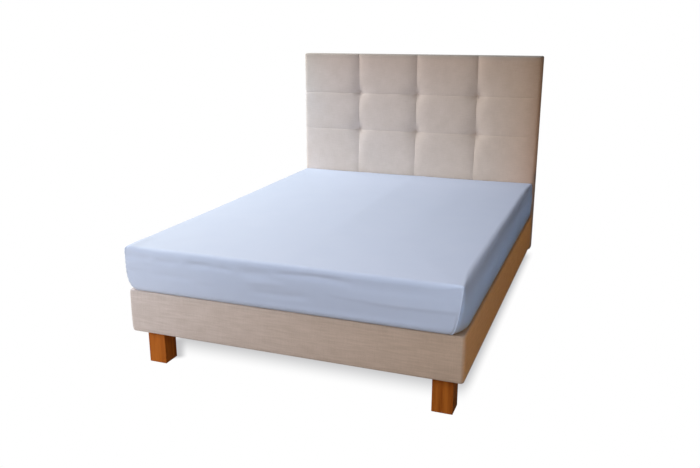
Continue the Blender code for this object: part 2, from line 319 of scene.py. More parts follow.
@dataclass(frozen=True)
class CottonFinish:
    """Plain-woven, dyed cotton: even, matt, and a little paler where threads cross."""

    dye: Colour = (0.543, 0.607, 0.763)
    worn: Colour = (0.597, 0.650, 0.792)
    # Painted light and shade, each multiplying the dye by its colour where its ramps reach.
    fades: tuple[PaintedShade, ...] = ()
    thread_pitch: float = 0.0011
    thread_relief: float = 0.00006
    thread_paleness: float = 0.3
    thread_gloss: float = 0.06
    mottle_size: float = 0.16
    mottle_paleness: float = 0.7
    crumple_size: float = 0.055
    crumple_relief: float = 0.0005
    roughness: float = 0.88
    sheen: float = 0.12
    sheen_roughness: float = 0.5

    def material(self) -> bpy.types.Material:
        """The relief is sin(across) x sin(along), one crossing for each pitch, on crumples."""
        bench = DyeBench("sheet_cotton")
        across, along = place = bench.cloth_place()
        turn = 2 * np.pi / self.thread_pitch
        crossing = ((across * turn).sine() * (along * turn).sine()).raised()
        mottle = bench.noise(place, (self.mottle_size,) * 2, detail=3.0)
        crumple = bench.noise(place, (self.crumple_size,) * 2, detail=3.0)
        worn = (mottle * self.mottle_paleness + crossing * self.thread_paleness).clipped()
        creased = bench.bumped(crumple, self.crumple_relief)
        return bench.dress(
            Base_Color=bench.with_painted_shading(bench.mixed(worn, self.dye, self.worn), self.fades),
            Roughness=self.roughness - crossing * self.thread_gloss,
            Normal=bench.bumped(crossing, self.thread_relief, creased),
            Sheen_Weight=self.sheen,
            Sheen_Roughness=self.sheen_roughness,
        )


@dataclass(frozen=True)
class TickingFinish:
    """White mattress ticking with a fine rib."""

    pale: Colour = (0.82, 0.81, 0.78)
    shaded: Colour = (0.70, 0.69, 0.66)
    rib_pitch: float = 0.004
    rib_share: float = 0.6
    fuzz_size: float = 0.008
    fuzz_share: float = 0.4
    relief: float = 0.0004
    gloss: float = 0.05
    roughness: float = 0.9

    def material(self) -> bpy.types.Material:
        """The relief is sin(along), one rib for each pitch, broken up by noise."""
        bench = DyeBench("mattress_ticking")
        _, along = place = bench.cloth_place()
        rib = (along * (2 * np.pi / self.rib_pitch)).sine().raised()
        fuzz = bench.noise(place, (self.fuzz_size,) * 2)
        height = rib * self.rib_share + fuzz * self.fuzz_share
        return bench.dress(
            Base_Color=bench.mixed(height.clipped(), self.shaded, self.pale),
            Roughness=self.roughness - height * self.gloss,
            Normal=bench.bumped(height, self.relief),
        )


@dataclass(frozen=True)
class LinenFinish:
    """Beige slubbed linen: yarns of uneven thickness over a fine weave, with painted shade that
    makes it browner and darker to its right.

    Sizes run across the cloth and along it, and a contrast is how far its pattern moves the colour
    from dark to light. Each painted shade along the top edge has how far below the shade line it
    starts, its height and its share, and a shade line far above the piece leaves it without one.
    """

    name: str = "base_linen"
    light: Colour = (0.635, 0.560, 0.555)
    dark: Colour = (0.525, 0.456, 0.439)
    # Painted shade: browner and darker to the right, and with a climb also upward.
    painted_shade_tint: Colour = (0.97, 0.835, 0.690)
    width: float = 1.54
    shade_climb: float = 0.0
    level: float = 1.05
    # Painted light and shade, each multiplying the yarn's colour where its ramps reach.
    fades: tuple[PaintedShade, ...] = ()
    # Painted shade along the top edge, which darkens the cloth towards the shade line and takes its
    # colour above it.
    bound: float = 9.0
    top_shade_colour: Colour = (0.30, 0.27, 0.25)
    bound_shades: tuple[tuple[float, float, float], ...] = ((0.035, 0.045, 0.3), (0.0, 0.005, 0.7))
    yarn_pitch: float = 0.0016
    yarn_relief: float = 0.00014
    weft_bend: float = 6.0
    warp_bend: float = 3.0
    weft_share: float = 0.6
    weave_relief: float = 0.6
    slub_size: tuple[float, float] = (0.100, 0.0085)
    slub_relief: float = 0.0004
    slub_contrast: float = 1.87
    thread_size: tuple[float, float] = (0.010, 0.0024)
    thread_contrast: float = 0.9
    upright_size: tuple[float, float] = (0.0045, 0.060)
    upright_contrast: float = 0.8
    mottle_size: float = 0.07
    mottle_contrast: float = 0.8
    weave_contrast: float = 0.25
    darkening: float = 0.025
    weave_gloss: float = 0.08
    roughness: float = 0.92
    sheen: float = 0.10
    sheen_roughness: float = 0.6

    def material(self) -> bpy.types.Material:
        """Slubs are noise drawn out along the yarns, and yarns are sines that the slubs bend.

        The painted shade's share is x / width + 1/2 + (z - level) x climb: browner and darker to
        the right and, with a climb, upward. Painted shade along the top edge darkens the cloth
        towards the shade line, above which it has the top shade's colour.
        """
        bench = DyeBench(self.name)
        across, along = place = bench.cloth_place()
        slub = bench.noise(place, self.slub_size)
        thread = bench.noise(place, self.thread_size)
        upright = bench.noise(place, self.upright_size)
        mottle = bench.noise(place, (self.mottle_size,) * 2, detail=3.0)
        turn = 2 * np.pi / self.yarn_pitch
        weft = (along * turn + slub * self.weft_bend).sine().raised()
        warp = (across * turn + thread * self.warp_bend).sine().raised()
        weave = weft * self.weft_share + warp * (1 - self.weft_share)
        slubs = (slub - 0.5) * self.slub_contrast
        threads = (thread - 0.5) * self.thread_contrast + (upright - 0.5) * self.upright_contrast
        uneven = mottle * self.mottle_contrast + weave * self.weave_contrast
        lightness = (slubs + threads + uneven - self.darkening).clipped()
        # Painted shade: the cloth is tinted browner and darker to the right and, with a climb,
        # upward.
        x, _, z = bench.object_place()
        painted_shade_share = (x / self.width + 0.5 + (z - self.level) * self.shade_climb).clipped()
        painted_shade_tint = bench.mixed(painted_shade_share, WHITE, self.painted_shade_tint)
        yarn = bench.mixed(1.0, bench.mixed(lightness, self.dark, self.light), painted_shade_tint, "MULTIPLY")
        # Painted shade along the top edge: a soft band below the shade line and a sharp one at it.
        soft, sharp = (
            ((z - (self.bound - below)) / height).eased() * share
            for below, height, share in self.bound_shades
        )
        relief = weave * self.weave_relief + thread * (1 - self.weave_relief)
        return bench.dress(
            Base_Color=bench.mixed(soft + sharp, bench.with_painted_shading(yarn, self.fades), self.top_shade_colour),
            Roughness=self.roughness - weave * self.weave_gloss,
            Normal=bench.bumped(relief, self.yarn_relief, bench.bumped(slub, self.slub_relief)),
            Sheen_Weight=self.sheen,
            Sheen_Roughness=self.sheen_roughness,
        )


@dataclass(frozen=True)
class WoodFinish:
    """Stained and varnished softwood, with its grain running up the leg.

    Sizes run through the leg and up it. Wood is late where bands and fibres add up to more than
    early_until.
    """

    early: Colour = (0.55, 0.165, 0.022)
    late: Colour = (0.31, 0.072, 0.006)
    early_until: float = 1.05
    band_size: tuple[float, float] = (0.020, 0.45)
    band_contrast: float = 2.2
    fibre_size: tuple[float, float] = (0.0022, 0.060)
    fibre_contrast: float = 0.7
    fibre_relief: float = 0.00010
    fibre_roughness: float = 0.12
    roughness: float = 0.38
    specular: float = 0.14
    varnish: float = 0.04
    varnish_roughness: float = 0.25

    def material(self) -> bpy.types.Material:
        """Bands of early and late wood are noise drawn out along Z, and so are finer fibres."""
        bench = DyeBench("varnished_wood")
        place = bench.object_place()
        (thick, long), (fine, fine_long) = self.band_size, self.fibre_size
        bands = bench.noise(place, (thick, thick, long), detail=3.0)
        fibre = bench.noise(place, (fine, fine, fine_long))
        late = bands * self.band_contrast + fibre * self.fibre_contrast - self.early_until
        return bench.dress(
            Base_Color=bench.mixed(late.clipped(), self.early, self.late),
            Roughness=self.roughness + fibre * self.fibre_roughness,
            Normal=bench.bumped(fibre, self.fibre_relief),
            Coat_Weight=self.varnish,
            Coat_Roughness=self.varnish_roughness,
            Specular_IOR_Level=self.specular,
        )


@dataclass(frozen=True)
class FloorFinish:
    """A white studio floor with a soft shade under the bed. What it throws back is warmer.

    The shade under the bed has where it starts and where it is full on each side. The front left
    leg's has its middle, its turn, half its size each way, and how far it blurs.
    """

    bounce: Colour = (0.42, 0.34, 0.27)
    white: Colour = WHITE
    shade: Colour = (0.52, 0.52, 0.53)
    left: tuple[float, float] = (-0.80, -0.72)
    right: tuple[float, float] = (0.760, 0.688)
    front: tuple[float, float] = (-0.89, -0.64)
    back: tuple[float, float] = (1.45, 1.25)
    leg: tuple[float, float] = (-0.680, -0.817)
    leg_turn: float = np.radians(122.8)
    leg_half: tuple[float, float] = (0.080, 0.012)
    leg_blur: tuple[float, float] = (0.050, 0.045)
    leg_share: float = 0.9

    def material(self) -> bpy.types.Material:
        """The shade rises from where each side's starts to where it is full, eased in and out.

        The leg's own shade is a strip turned by the leg's turn, full within its half sizes.
        """
        bench = DyeBench("studio_floor")
        bench.tree.nodes.remove(bench.shader)
        x, y, _ = bench.object_place()
        under = 1.0
        for at, (start, full) in ((x, self.left), (x, self.right), (y, self.front), (y, self.back)):
            under = ((at - start) / (full - start)).eased() * under
        beside = self.leg_share
        right, back = x - self.leg[0], y - self.leg[1]
        cosine, sine = np.cos(self.leg_turn), np.sin(self.leg_turn)
        offsets = (right * cosine + back * sine, back * cosine - right * sine)
        for off, half, blur in zip(offsets, self.leg_half, self.leg_blur):
            beside = (1 - (off.size() - half) / blur).eased() * beside
        share = under + beside * (1 - under)
        shaded = bench.mixed(share, self.white, self.shade)
        glow = bench.add("ShaderNodeEmission", {}, {"Color": shaded})
        plain = bench.add("ShaderNodeBsdfDiffuse", {}, {"Color": (*self.bounce, 1.0)})
        seen = bench.add("ShaderNodeLightPath", {}, {}, "Is Camera Ray")
        both = bench.add("ShaderNodeMixShader", {}, {0: seen, 1: plain, 2: glow})
        bench.tree.links.new(both.socket, bench.output.inputs["Surface"])
        return bench.material


# Surfaces ----------------------------------------------------------------------------------------


def border(grid: np.ndarray) -> np.ndarray:
    """The rim of a grid, from its last column's foot up, back along its head, down and along.

    Args:
        grid: Rows x columns x values, whose rows run from foot to head.

    Returns:
        The rim's points in one row.
    """
    right = grid[:-1, -1]
    head = grid[-1, :0:-1]
    left = grid[:0:-1, 0]
    foot = grid[0, :-1]
    return np.concatenate([right, head, left, foot])


def coons_patch(ring: np.ndarray, cells: tuple[int, int]) -> np.ndarray:
    """Fills a ring: the two blends of opposite sides, less the blend of the four corners.

    Args:
        ring: Points in the order that border() gives.
        cells: How many cells the patch has across and along.

    Returns:
        The patch's grid, whose border is the ring.
    """
    across, along = cells
    right, head, left, foot = np.split(ring, np.cumsum([along, across, along]))
    right = np.vstack([right, head[:1]])[:, None]
    head = np.vstack([head, left[:1]])[::-1][None]
    left = np.vstack([left, foot[:1]])[::-1][:, None]
    foot = np.vstack([foot, ring[:1]])[None]
    s = np.linspace(0, 1, across + 1)[None, :, None]
    t = np.linspace(0, 1, along + 1)[:, None, None]
    ends = (1 - t) * foot + t * head
    sides = (1 - s) * left + s * right
    low = (1 - s) * foot[:, :1] + s * foot[:, -1:]
    high = (1 - s) * head[:, :1] + s * head[:, -1:]
    return ends + sides - (1 - t) * low - t * high


def eased(share: np.ndarray) -> np.ndarray:
    """A share held from 0 to 1 and eased in and out: 3 share squared less 2 share cubed."""
    held = np.clip(share, 0.0, 1.0)
    return held * held * (3 - 2 * held)


def run_lengths(points: np.ndarray, axis: int) -> np.ndarray:
    """How far each point lies along its run: the sum of the steps before it.

    Args:
        points: Runs of points, whose last axis holds their coordinates.
        axis: The axis that the runs follow.

    Returns:
        The distances, from 0.
    """
    steps = np.linalg.norm(np.diff(points, axis=axis), axis=-1)
    return np.insert(np.cumsum(steps, axis=axis), 0, 0.0, axis=axis)


def smooth_table(rows: np.ndarray, places: np.ndarray) -> np.ndarray:
    """Reads a table between its rows along a Catmull-Rom curve through them.

    Args:
        rows: The table, one row for each whole place.
        places: Where to read it, from 0 to the last row's number.

    Returns:
        One row for each place.
    """
    padded = np.vstack([2 * rows[:1] - rows[1:2], rows, 2 * rows[-1:] - rows[-2:-1]])
    start = np.clip(np.floor(places).astype(int), 0, len(rows) - 2)
    t = (places - start)[:, None]
    before, first, second, after = (padded[start + offset] for offset in range(4))
    slope_in, slope_out = (second - before) / 2, (after - first) / 2
    rise = second - first
    return (
        first
        + slope_in * t
        + (3 * rise - 2 * slope_in - slope_out) * t**2
        + (slope_in + slope_out - 2 * rise) * t**3
    )


def nearest(places: np.ndarray, marks: np.ndarray) -> np.ndarray:
    """How far each place lies past the nearest mark, below 0 before it.

    Args:
        places: The places.
        marks: The marks.

    Returns:
        The distances, laid out as the places are.
    """
    past = places[..., None] - marks
    least = np.argmin(abs(past), axis=-1)[..., None]
    return np.take_along_axis(past, least, -1)[..., 0]


def unevenness(
    u: np.ndarray, v: np.ndarray, waves: tuple[float, ...], lean: float | np.ndarray = 0.0
) -> np.ndarray:
    """Two waves that bend each other: sin(a u + b sin(c v)) x sin(d v + lean + e sin(f u)).

    Args:
        u: Places one way.
        v: Places the other way.
        waves: The numbers a to f.
        lean: What else turns the second wave.

    Returns:
        The height at each place, from -1 to 1.
    """
    a, b, c, d, e, f = waves
    return np.sin(a * u + b * np.sin(c * v)) * np.sin(d * v + lean + e * np.sin(f * u))


def mirrored_steps(steps: tuple[float, ...], length: np.ndarray, cells: int) -> np.ndarray:
    """Places along a run that are close at both ends and even between.

    Args:
        steps: Distances of the first places from either end.
        length: The length of each run.
        cells: How many cells each run has.

    Returns:
        For each run, its places but the last one, which starts the next run.
    """
    near = np.array((0.0, *steps))
    even = np.linspace(0, 1, cells - 2 * len(steps) + 1)[None, 1:-1]
    length = length[:, None]
    middle = near[-1] + even * (length - 2 * near[-1])
    return np.hstack([near + 0 * length, middle, length - near[:0:-1]])


@dataclass
class Cloak:
    """A front grid, bands of rings that run on from its border, and a back grid or none."""

    front: np.ndarray
    bands: np.ndarray
    back: np.ndarray | None = None

    def points(self) -> np.ndarray:
        """All points: the front's, the bands' after their first ring, and the back's inner ones."""
        parts = [self.front.reshape(-1, 3), self.bands[1:].reshape(-1, 3)]
        if self.back is not None:
            parts.append(self.back[1:-1, 1:-1].reshape(-1, 3))
        return np.concatenate(parts)

    def numbers(self) -> tuple[np.ndarray, np.ndarray, np.ndarray | None]:
        """The points' numbers, laid out as the front, the bands and the back are."""
        rows, columns = self.front.shape[:2]
        front = np.arange(rows * columns).reshape(rows, columns)
        rings = rows * columns + np.arange(self.bands[1:, :, 0].size)
        bands = np.vstack([border(front)[None], rings.reshape(len(self.bands) - 1, -1)])
        if self.back is None:
            return front, bands, None
        back = np.zeros(self.back.shape[:2], int)
        inner = back[1:-1, 1:-1]
        inner[:] = bands.max() + 1 + np.arange(inner.size).reshape(inner.shape)
        back_rows, back_columns = np.indices(back.shape)
        back[border(back_rows), border(back_columns)] = bands[-1]
        return front, bands, back

    def faces(self) -> np.ndarray:
        """Quads of point numbers, all with their outer side out."""
        front, bands, back = self.numbers()
        closed = np.hstack([bands, bands[:, :1]])
        quads = [self._quads(front), self._quads(closed[::-1])]
        if back is not None:
            quads.append(self._quads(back[:, ::-1]))
        return np.concatenate(quads)

    def uvs(self) -> np.ndarray:
        """Metres of cloth at each face's corners: flat on the grids, along by down on the bands."""
        front = self._flat(self.front)
        ring = np.concatenate([self.bands, self.bands[:, :1]], axis=1)
        along = run_lengths(ring, 1).mean(axis=0)
        down = run_lengths(self.bands, 0).mean(axis=1)
        bands = np.stack(np.meshgrid(along, -down), axis=2)
        parts = [self._quads(front), self._quads(bands[::-1])]
        if self.back is not None:
            parts.append(self._quads(self._flat(self.back)[:, ::-1]))
        return np.concatenate(parts).reshape(-1, 2)

    @staticmethod
    def _flat(grid: np.ndarray) -> np.ndarray:
        """A grid's two widest directions, which are X and the wider of Y and Z."""
        spans = np.ptp(grid.reshape(-1, 3), axis=0)
        return grid[:, :, [0, 1 if spans[1] > spans[2] else 2]]

    @staticmethod
    def _quads(grid: np.ndarray) -> np.ndarray:
        """The four corners of each cell of a grid, anticlockwise."""
        corners = (grid[:-1, :-1], grid[:-1, 1:], grid[1:, 1:], grid[1:, :-1])
        quads = np.stack(corners, axis=2)
        return quads.reshape(-1, *quads.shape[2:])

    def mesh(self, name: str, finish: bpy.types.Material) -> bpy.types.Object:
        """Writes the cloak to a new object.

        Args:
            name: The object's name.
            finish: Its material.

        Returns:
            The object, at the origin, with its place in its mesh.
        """
        points, faces = self.points(), self.faces()
        data = bpy.data.meshes.new(name)
        data.vertices.add(len(points))
        data.vertices.foreach_set("co", points.astype(np.float32).ravel())
        data.loops.add(faces.size)
        data.loops.foreach_set("vertex_index", faces.astype(np.int32).ravel())
        data.polygons.add(len(faces))
        data.polygons.foreach_set("loop_start", np.arange(0, faces.size, 4, dtype=np.int32))
        data.update(calc_edges=True)
        layer = data.uv_layers.new(name=CLOTH_MAP)
        layer.uv.foreach_set("vector", self.uvs().astype(np.float32).ravel())
        data.materials.append(finish)
        data.shade_smooth()
        made = bpy.data.objects.new(name, data)
        bpy.context.scene.collection.objects.link(made)
        return made


def normals_of(made: bpy.types.Object) -> np.ndarray:
    """The normals of an object's mesh, one row for each point."""
    normals = np.empty((len(made.data.vertices), 3), np.float32)
    made.data.vertex_normals.foreach_get("vector", normals.ravel())
    return normals


def raise_surface(made: bpy.types.Object, heights: np.ndarray) -> None:
    """Moves each point of a mesh along its normal.

    Args:
        made: The object whose mesh it is.
        heights: How far each point moves.
    """
    points = np.empty((len(heights), 3), np.float32)
    made.data.vertices.foreach_get("co", points.ravel())
    points += normals_of(made) * heights[:, None]
    made.data.vertices.foreach_set("co", points.ravel())
    made.data.update()


class FoldKind(Enum):
    """How a fold's height runs across it."""

    RIDGE = "raised along its line"
    TROUGH = "sunk along its line"
    LEDGE = "raised on its left side, which ends at its line"
    CREASE = "raised to a sharp line"


@dataclass(frozen=True)
class Fold:
    """A fold from one point of the cloth to another. It bows sideways and dies out at its ends."""

    kind: FoldKind
    start: Point
    end: Point
    width: float
    rise: float
    bow: float = 0.0
    end_share: float = 0.15
    ledge_slope: float = 2.5
    crease_blunt: float = 0.01
    near_widths: float = 3.0

    def heights(self, points: np.ndarray, normals: np.ndarray) -> np.ndarray:
        """The fold's height at each point.

        With d the distance left of the line over the width, a ridge is rise x exp(-d squared), a
        trough is the same sunk, a crease is rise x exp(-|d|), blunted at its line, and a ledge is a
        step up at the line that dies away as exp(-|d| / 2). All die out three widths away, which
        keeps a fold on its own side of the bed.

        Args:
            points: Points of the cloth.
            normals: Its normals there.

        Returns:
            The heights.
        """
        start, end = np.array(self.start), np.array(self.end)
        length = np.linalg.norm(end - start)
        line = (end - start) / length
        share = ((points - start) @ line) / length
        held = np.clip(share, 0, 1)
        offset = np.einsum("ij,ij->i", points - start, np.cross(normals, line))
        across = (offset - self.bow * np.sin(np.pi * held)) / self.width
        away = np.linalg.norm(points - start - np.outer(held * length, line), axis=1)
        near = np.exp(-(np.clip(away / self.width - self.near_widths, 0, None) ** 2))
        inside = np.minimum(share, 1 - share) + self.end_share
        fade = self.rise * near * eased(inside / (2 * self.end_share))
        if self.kind is FoldKind.LEDGE:
            return fade * (1 + np.tanh(self.ledge_slope * across)) / 2 * np.exp(-abs(across) / 2)
        if self.kind is FoldKind.CREASE:
            return fade * np.exp(-np.sqrt(across**2 + self.crease_blunt))
        sign = 1.0 if self.kind is FoldKind.RIDGE else -1.0
        return sign * fade * np.exp(-(across**2))


# The bed -----------------------------------------------------------------------------------------


@dataclass(frozen=True)
class Section:
    """A level ring of the sheet. Corner curves run across the bed's end and along its side."""

    rise: float
    spread: float
    left_across: float
    left_along: float
    right_across: float
    right_along: float
    head_curve: float
    foot_tuck: float = 0.0


# The columns of a table of sections that hold its rise, its spread, its curves and its tuck.
RISE, SPREAD, CURVES, FOOT_TUCK = 0, 1, slice(2, 7), 7


@dataclass(frozen=True)
class TopEdge:
    """One run of the sheet's top edge: its radius in the middle, and how soon it gets there."""

    radius: float
    reach: float


def finished(made: bpy.types.Object, node: str) -> bpy.types.Object:
    """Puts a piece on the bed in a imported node's place, and logs its size.

    Args:
        made: The finished piece.
        node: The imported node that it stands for.

    Returns:
        The piece.
    """
    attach(made, ROOT_BODY)
    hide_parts(node)
    LOG.info("%s: %d points, %d faces", made.name, len(made.data.vertices), len(made.data.polygons))
    return made


@dataclass
class FittedSheet:
    """The sheet: a flat top, a rounded edge, full sides and a hem turned under the mattress.

    The corners and the runs between them go anticlockwise from the foot's right corner.
    """

    # Where its faces stand, and what it is cut from.
    low: Vector = field(default_factory=lambda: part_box("fitted_sheet")[0])
    high: Vector = field(default_factory=lambda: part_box("fitted_sheet")[1])
    side: float = 0.756
    foot: float = -1.04135
    head: float = 0.95665
    cloth: float = 0.0014
    hem: float = 0.0032
    turn_under: float = 0.100

    # The crowned top and its edge, which turns down by edge_turn degrees. The sides start a step
    # below it and meet their sections at the height edge_end.
    crown: float = 0.003
    corner_radii: tuple[float, ...] = (0.011, 0.010, 0.008, 0.014)
    top_edges: tuple[TopEdge, ...] = (
        TopEdge(0.030, 0.10), TopEdge(0.022, 0.15), TopEdge(0.021, 0.60), TopEdge(0.027, 0.06),
    )
    edge_turn: float = 82.0
    edge_step: float = 0.0025
    edge_end: float = 0.080

    # How finely it is divided: along its rings, down its bands, and beside each seam.
    cells: tuple[int, int] = (96, 124)
    corner_points: int = 61
    edge_rows: int = 9
    side_rows: int = 44
    under_insets: tuple[float, ...] = (0.0226, 0.03808, 0.05872, 0.08108, 0.0828, 0.0914, 0.100)
    near_seam: tuple[float, ...] = (
        0.0010, 0.0020, 0.0031, 0.0044, 0.0060, 0.0080,
        0.0105, 0.0140, 0.0185, 0.0245, 0.0325, 0.0430,
    )

    # A corner seam's puckered welt, the lap beside it, and how it fades at the top and the hem.
    seam_angle: float = np.radians(16)
    seam_rise: float = 0.0036
    seam_width: float = 0.0022
    seam_pucker: float = 0.22
    stitch_pitch: float = 0.021
    lap_rise: float = 0.0010
    lap_share: float = 0.6
    lap_stop: float = 0.0096
    lap_ends: tuple[float, float] = (0.002, 0.004)
    lap_width: float = 0.012
    lap_edge: float = 0.0026
    seam_fades: tuple[float, float] = (0.040, 0.020)

    # The cloth's slight unevenness, which stops where the sheet turns under.
    wave_rise: float = 0.00045
    waves: tuple[float, ...] = (9.1, 3.0, 2.3, 6.7, 2.0, 3.1)
    wave_lean: float = 11.0
    low_fade: float = 0.030

    # How deep the foot side's painted light and shade reach, and where they turn over from left to
    # right.
    fade_depth: float = 0.020
    fade_turn: float = -0.20

    # Its level rings, from the top edge down to the base.
    sections: tuple[Section, ...] = (
        Section(0.183, 0.0010, 0.010, 0.013, 0.006, 0.011, 0.012),
        Section(0.168, 0.0022, 0.011, 0.015, 0.010, 0.021, 0.015),
        Section(0.145, 0.0038, 0.013, 0.018, 0.016, 0.036, 0.018),
        Section(0.120, 0.0050, 0.015, 0.023, 0.023, 0.049, 0.022),
        Section(0.096, 0.0055, 0.017, 0.030, 0.029, 0.063, 0.026),
        Section(0.070, 0.0055, 0.021, 0.041, 0.035, 0.080, 0.030),
        Section(0.045, 0.0052, 0.030, 0.058, 0.042, 0.099, 0.036),
        Section(0.025, 0.0044, 0.046, 0.088, 0.050, 0.120, 0.044),
        Section(0.012, 0.0020, 0.065, 0.124, 0.059, 0.133, 0.056, 0.0012),
        Section(0.004, -0.0034, 0.080, 0.152, 0.067, 0.146, 0.070, 0.0060),
        Section(0.0003, -0.0120, 0.088, 0.168, 0.073, 0.155, 0.080, 0.0120),
    )

    def __post_init__(self) -> None:
        """Works out the heights that the sheet stands between."""
        self.base_top = self.low.z - REST_GAP
        self.top = self.high.z

    def fades(self) -> tuple[PaintedShade, ...]:
        """Painted shade darkens the cotton toward the head and to the right, and on the foot side
        from its left edge inward; painted light brightens the foot side toward its right.
        """
        up_the_bed = (Way.ALONG, self.foot, self.head)
        across = (Way.ACROSS, -self.side, self.side)
        foot_side = (Way.ALONG, self.foot + self.fade_depth, self.foot)
        left_third = (Way.ACROSS, -self.side, self.fade_turn)
        right = (Way.ACROSS, self.fade_turn, self.side)
        return (
            # Painted shade toward the head, to the right and on the foot side, and painted light on
            # the foot side's right.
            PaintedShade((0.878, 0.910, 0.940), (up_the_bed,)),
            PaintedShade((0.922, 0.925, 0.989), (across,)),
            PaintedShade((0.933, 0.952, 1.004), (foot_side,)),
            PaintedShade((0.953, 0.966, 0.968), (foot_side, left_third)),
            PaintedShade((1.230, 1.251, 1.230), (foot_side, right, right)),
        )

    def table(self) -> np.ndarray:
        """The sections as rows of numbers."""
        names = Section.__dataclass_fields__
        return np.array([[getattr(section, name) for name in names] for section in self.sections])

    def rings(self, rows: np.ndarray, inset: np.ndarray) -> tuple[np.ndarray, np.ndarray]:
        """Level rings that start at the seam by the foot's right corner and run anticlockwise.

        Each corner is a quarter of an ellipse: its point at an angle is the corner less
        across x (1 - sin angle) and along x (1 - cos angle). Columns keep their distance to the
        nearest corner seam in every ring, and share out what is left between them.

        Args:
            rows: One row of a section's numbers for each ring.
            inset: How far each ring lies within its section.

        Returns:
            The rings' X and Y, and each column's distance past the seam, below 0 before it.
        """
        spread = rows[:, SPREAD]
        side = (self.side + spread - inset)[:, None]
        foot = (self.foot - spread + rows[:, FOOT_TUCK] + inset)[:, None]
        head = (self.head + np.minimum(spread, 0) - inset)[:, None]
        angles = np.linspace(0, np.pi / 2, self.corner_points)
        in_across, in_along = 1 - np.sin(angles), 1 - np.cos(angles)
        seam = int(np.argmin(abs(angles - self.seam_angle)))
        curves = rows[:, CURVES].T[:, :, None]
        left_across, left_along, right_across, right_along, curve = curves
        corners = [
            (side - right_across * in_across, foot + right_along * in_along),
            (side - curve * in_across[::-1], head - curve * in_along[::-1]),
            (-side + curve * in_across, head - curve * in_along),
            (-side + left_across * in_across[::-1], foot + left_along * in_along[::-1]),
        ]
        line = np.stack([np.hstack(part) for part in zip(*corners)], axis=2)
        count = len(angles)
        seams = [seam, 2 * count - 1 - seam, 2 * count + seam, 4 * count - 1 - seam]
        line = np.roll(line, -seam, axis=1)
        line = np.concatenate([line, line[:, :1]], axis=1)
        walked = run_lengths(line, 1)
        marks = [walked[:, number - seam] for number in seams] + [walked[:, -1]]
        across, along = self.cells
        places, past = [], []
        for start, end, cells in zip(marks, marks[1:], (along, across, along, across)):
            steps = mirrored_steps(self.near_seam, end - start, cells)
            places.append(start[:, None] + steps)
            left = steps - (end - start)[:, None]
            past.append(np.where(steps < -left, steps, left))
        places = np.hstack(places)
        ring = [
            np.stack([np.interp(at, way, run[:, axis]) for axis in (0, 1)], axis=1)
            for at, way, run in zip(places, walked, line)
        ]
        return np.array(ring), np.hstack(past)

    def edge_radii(self, past: np.ndarray) -> np.ndarray:
        """The top edge's radius at each column, which goes over from its corner's to its run's.

        A column's radius is corner + (run - corner) x (1 - exp(-(past / reach) squared)).

        Args:
            past: Each column's distance past its seam.

        Returns:
            The radii.
        """
        across, along = self.cells
        runs = np.repeat([0, 1, 2, 3], [along, across, along, across])
        edges = np.array([(edge.radius, edge.reach) for edge in self.top_edges])
        full, reach = edges[runs].T
        corner = np.array(self.corner_radii)[(runs + (past < 0)) % 4]
        return corner + (full - corner) * (1 - np.exp(-((past / reach) ** 2)))

    def shape(self) -> tuple[Cloak, np.ndarray, np.ndarray]:
        """The sheet's cloak before its folds.

        The edge is a quarter circle of each column's radius, the sides follow the sections and
        start where the edge ends, and the cloth under the mattress lies flat.

        Returns:
            The cloak, each band point's distance past its seam, and each band row's number of
            the part it belongs to: 0 for the edge, 1 for the sides and 2 for what is under.
        """
        table = self.table()
        turn = np.radians(np.linspace(0, self.edge_turn, self.edge_rows))[:, None]
        edge = np.repeat(table[:1], self.edge_rows, axis=0)
        sides = smooth_table(table, np.linspace(0, len(table) - 1, self.side_rows))
        under = np.repeat(table[-1:], len(self.under_insets), axis=0)
        under[:, SPREAD] = 0.0
        rows = np.vstack([edge, sides, under])
        within = np.concatenate([np.zeros(len(edge) + len(sides)), self.under_insets])
        flat, past = self.rings(rows, within)
        widest = max(each.radius for each in self.top_edges)
        inner, _ = self.rings(edge, widest * (1 - np.sin(turn[:, 0])))
        radii = self.edge_radii(past[0])
        flat[: self.edge_rows] += (radii / widest)[:, None] * (inner - flat[: self.edge_rows])
        edge_z = self.top - self.crown - radii * (1 - np.cos(turn))
        rise = sides[:, RISE, None]
        sink = edge_z[-1] - self.edge_step - (self.base_top + rise[0])
        share = np.clip((rise - self.edge_end) / (rise[0] - self.edge_end), 0, 1)
        side_z = self.base_top + rise + share * sink
        under_z = np.full((len(under), flat.shape[1]), self.low.z)
        bands = np.dstack([flat, np.vstack([edge_z, side_z, under_z])])
        top = coons_patch(bands[0], self.cells)
        middle = (self.foot + self.head) / 2
        out_across = abs(top[:, :, 0]) / self.side
        out_along = abs(top[:, :, 1] - middle) / (self.head - middle)
        out = np.maximum(out_across, out_along)
        top[:, :, 2] = self.top - self.crown * np.minimum(out / out.max(), 1) ** 2
        part = np.repeat([0, 1, 2], [len(edge), len(sides), len(under)])
        return Cloak(top, bands), past, part

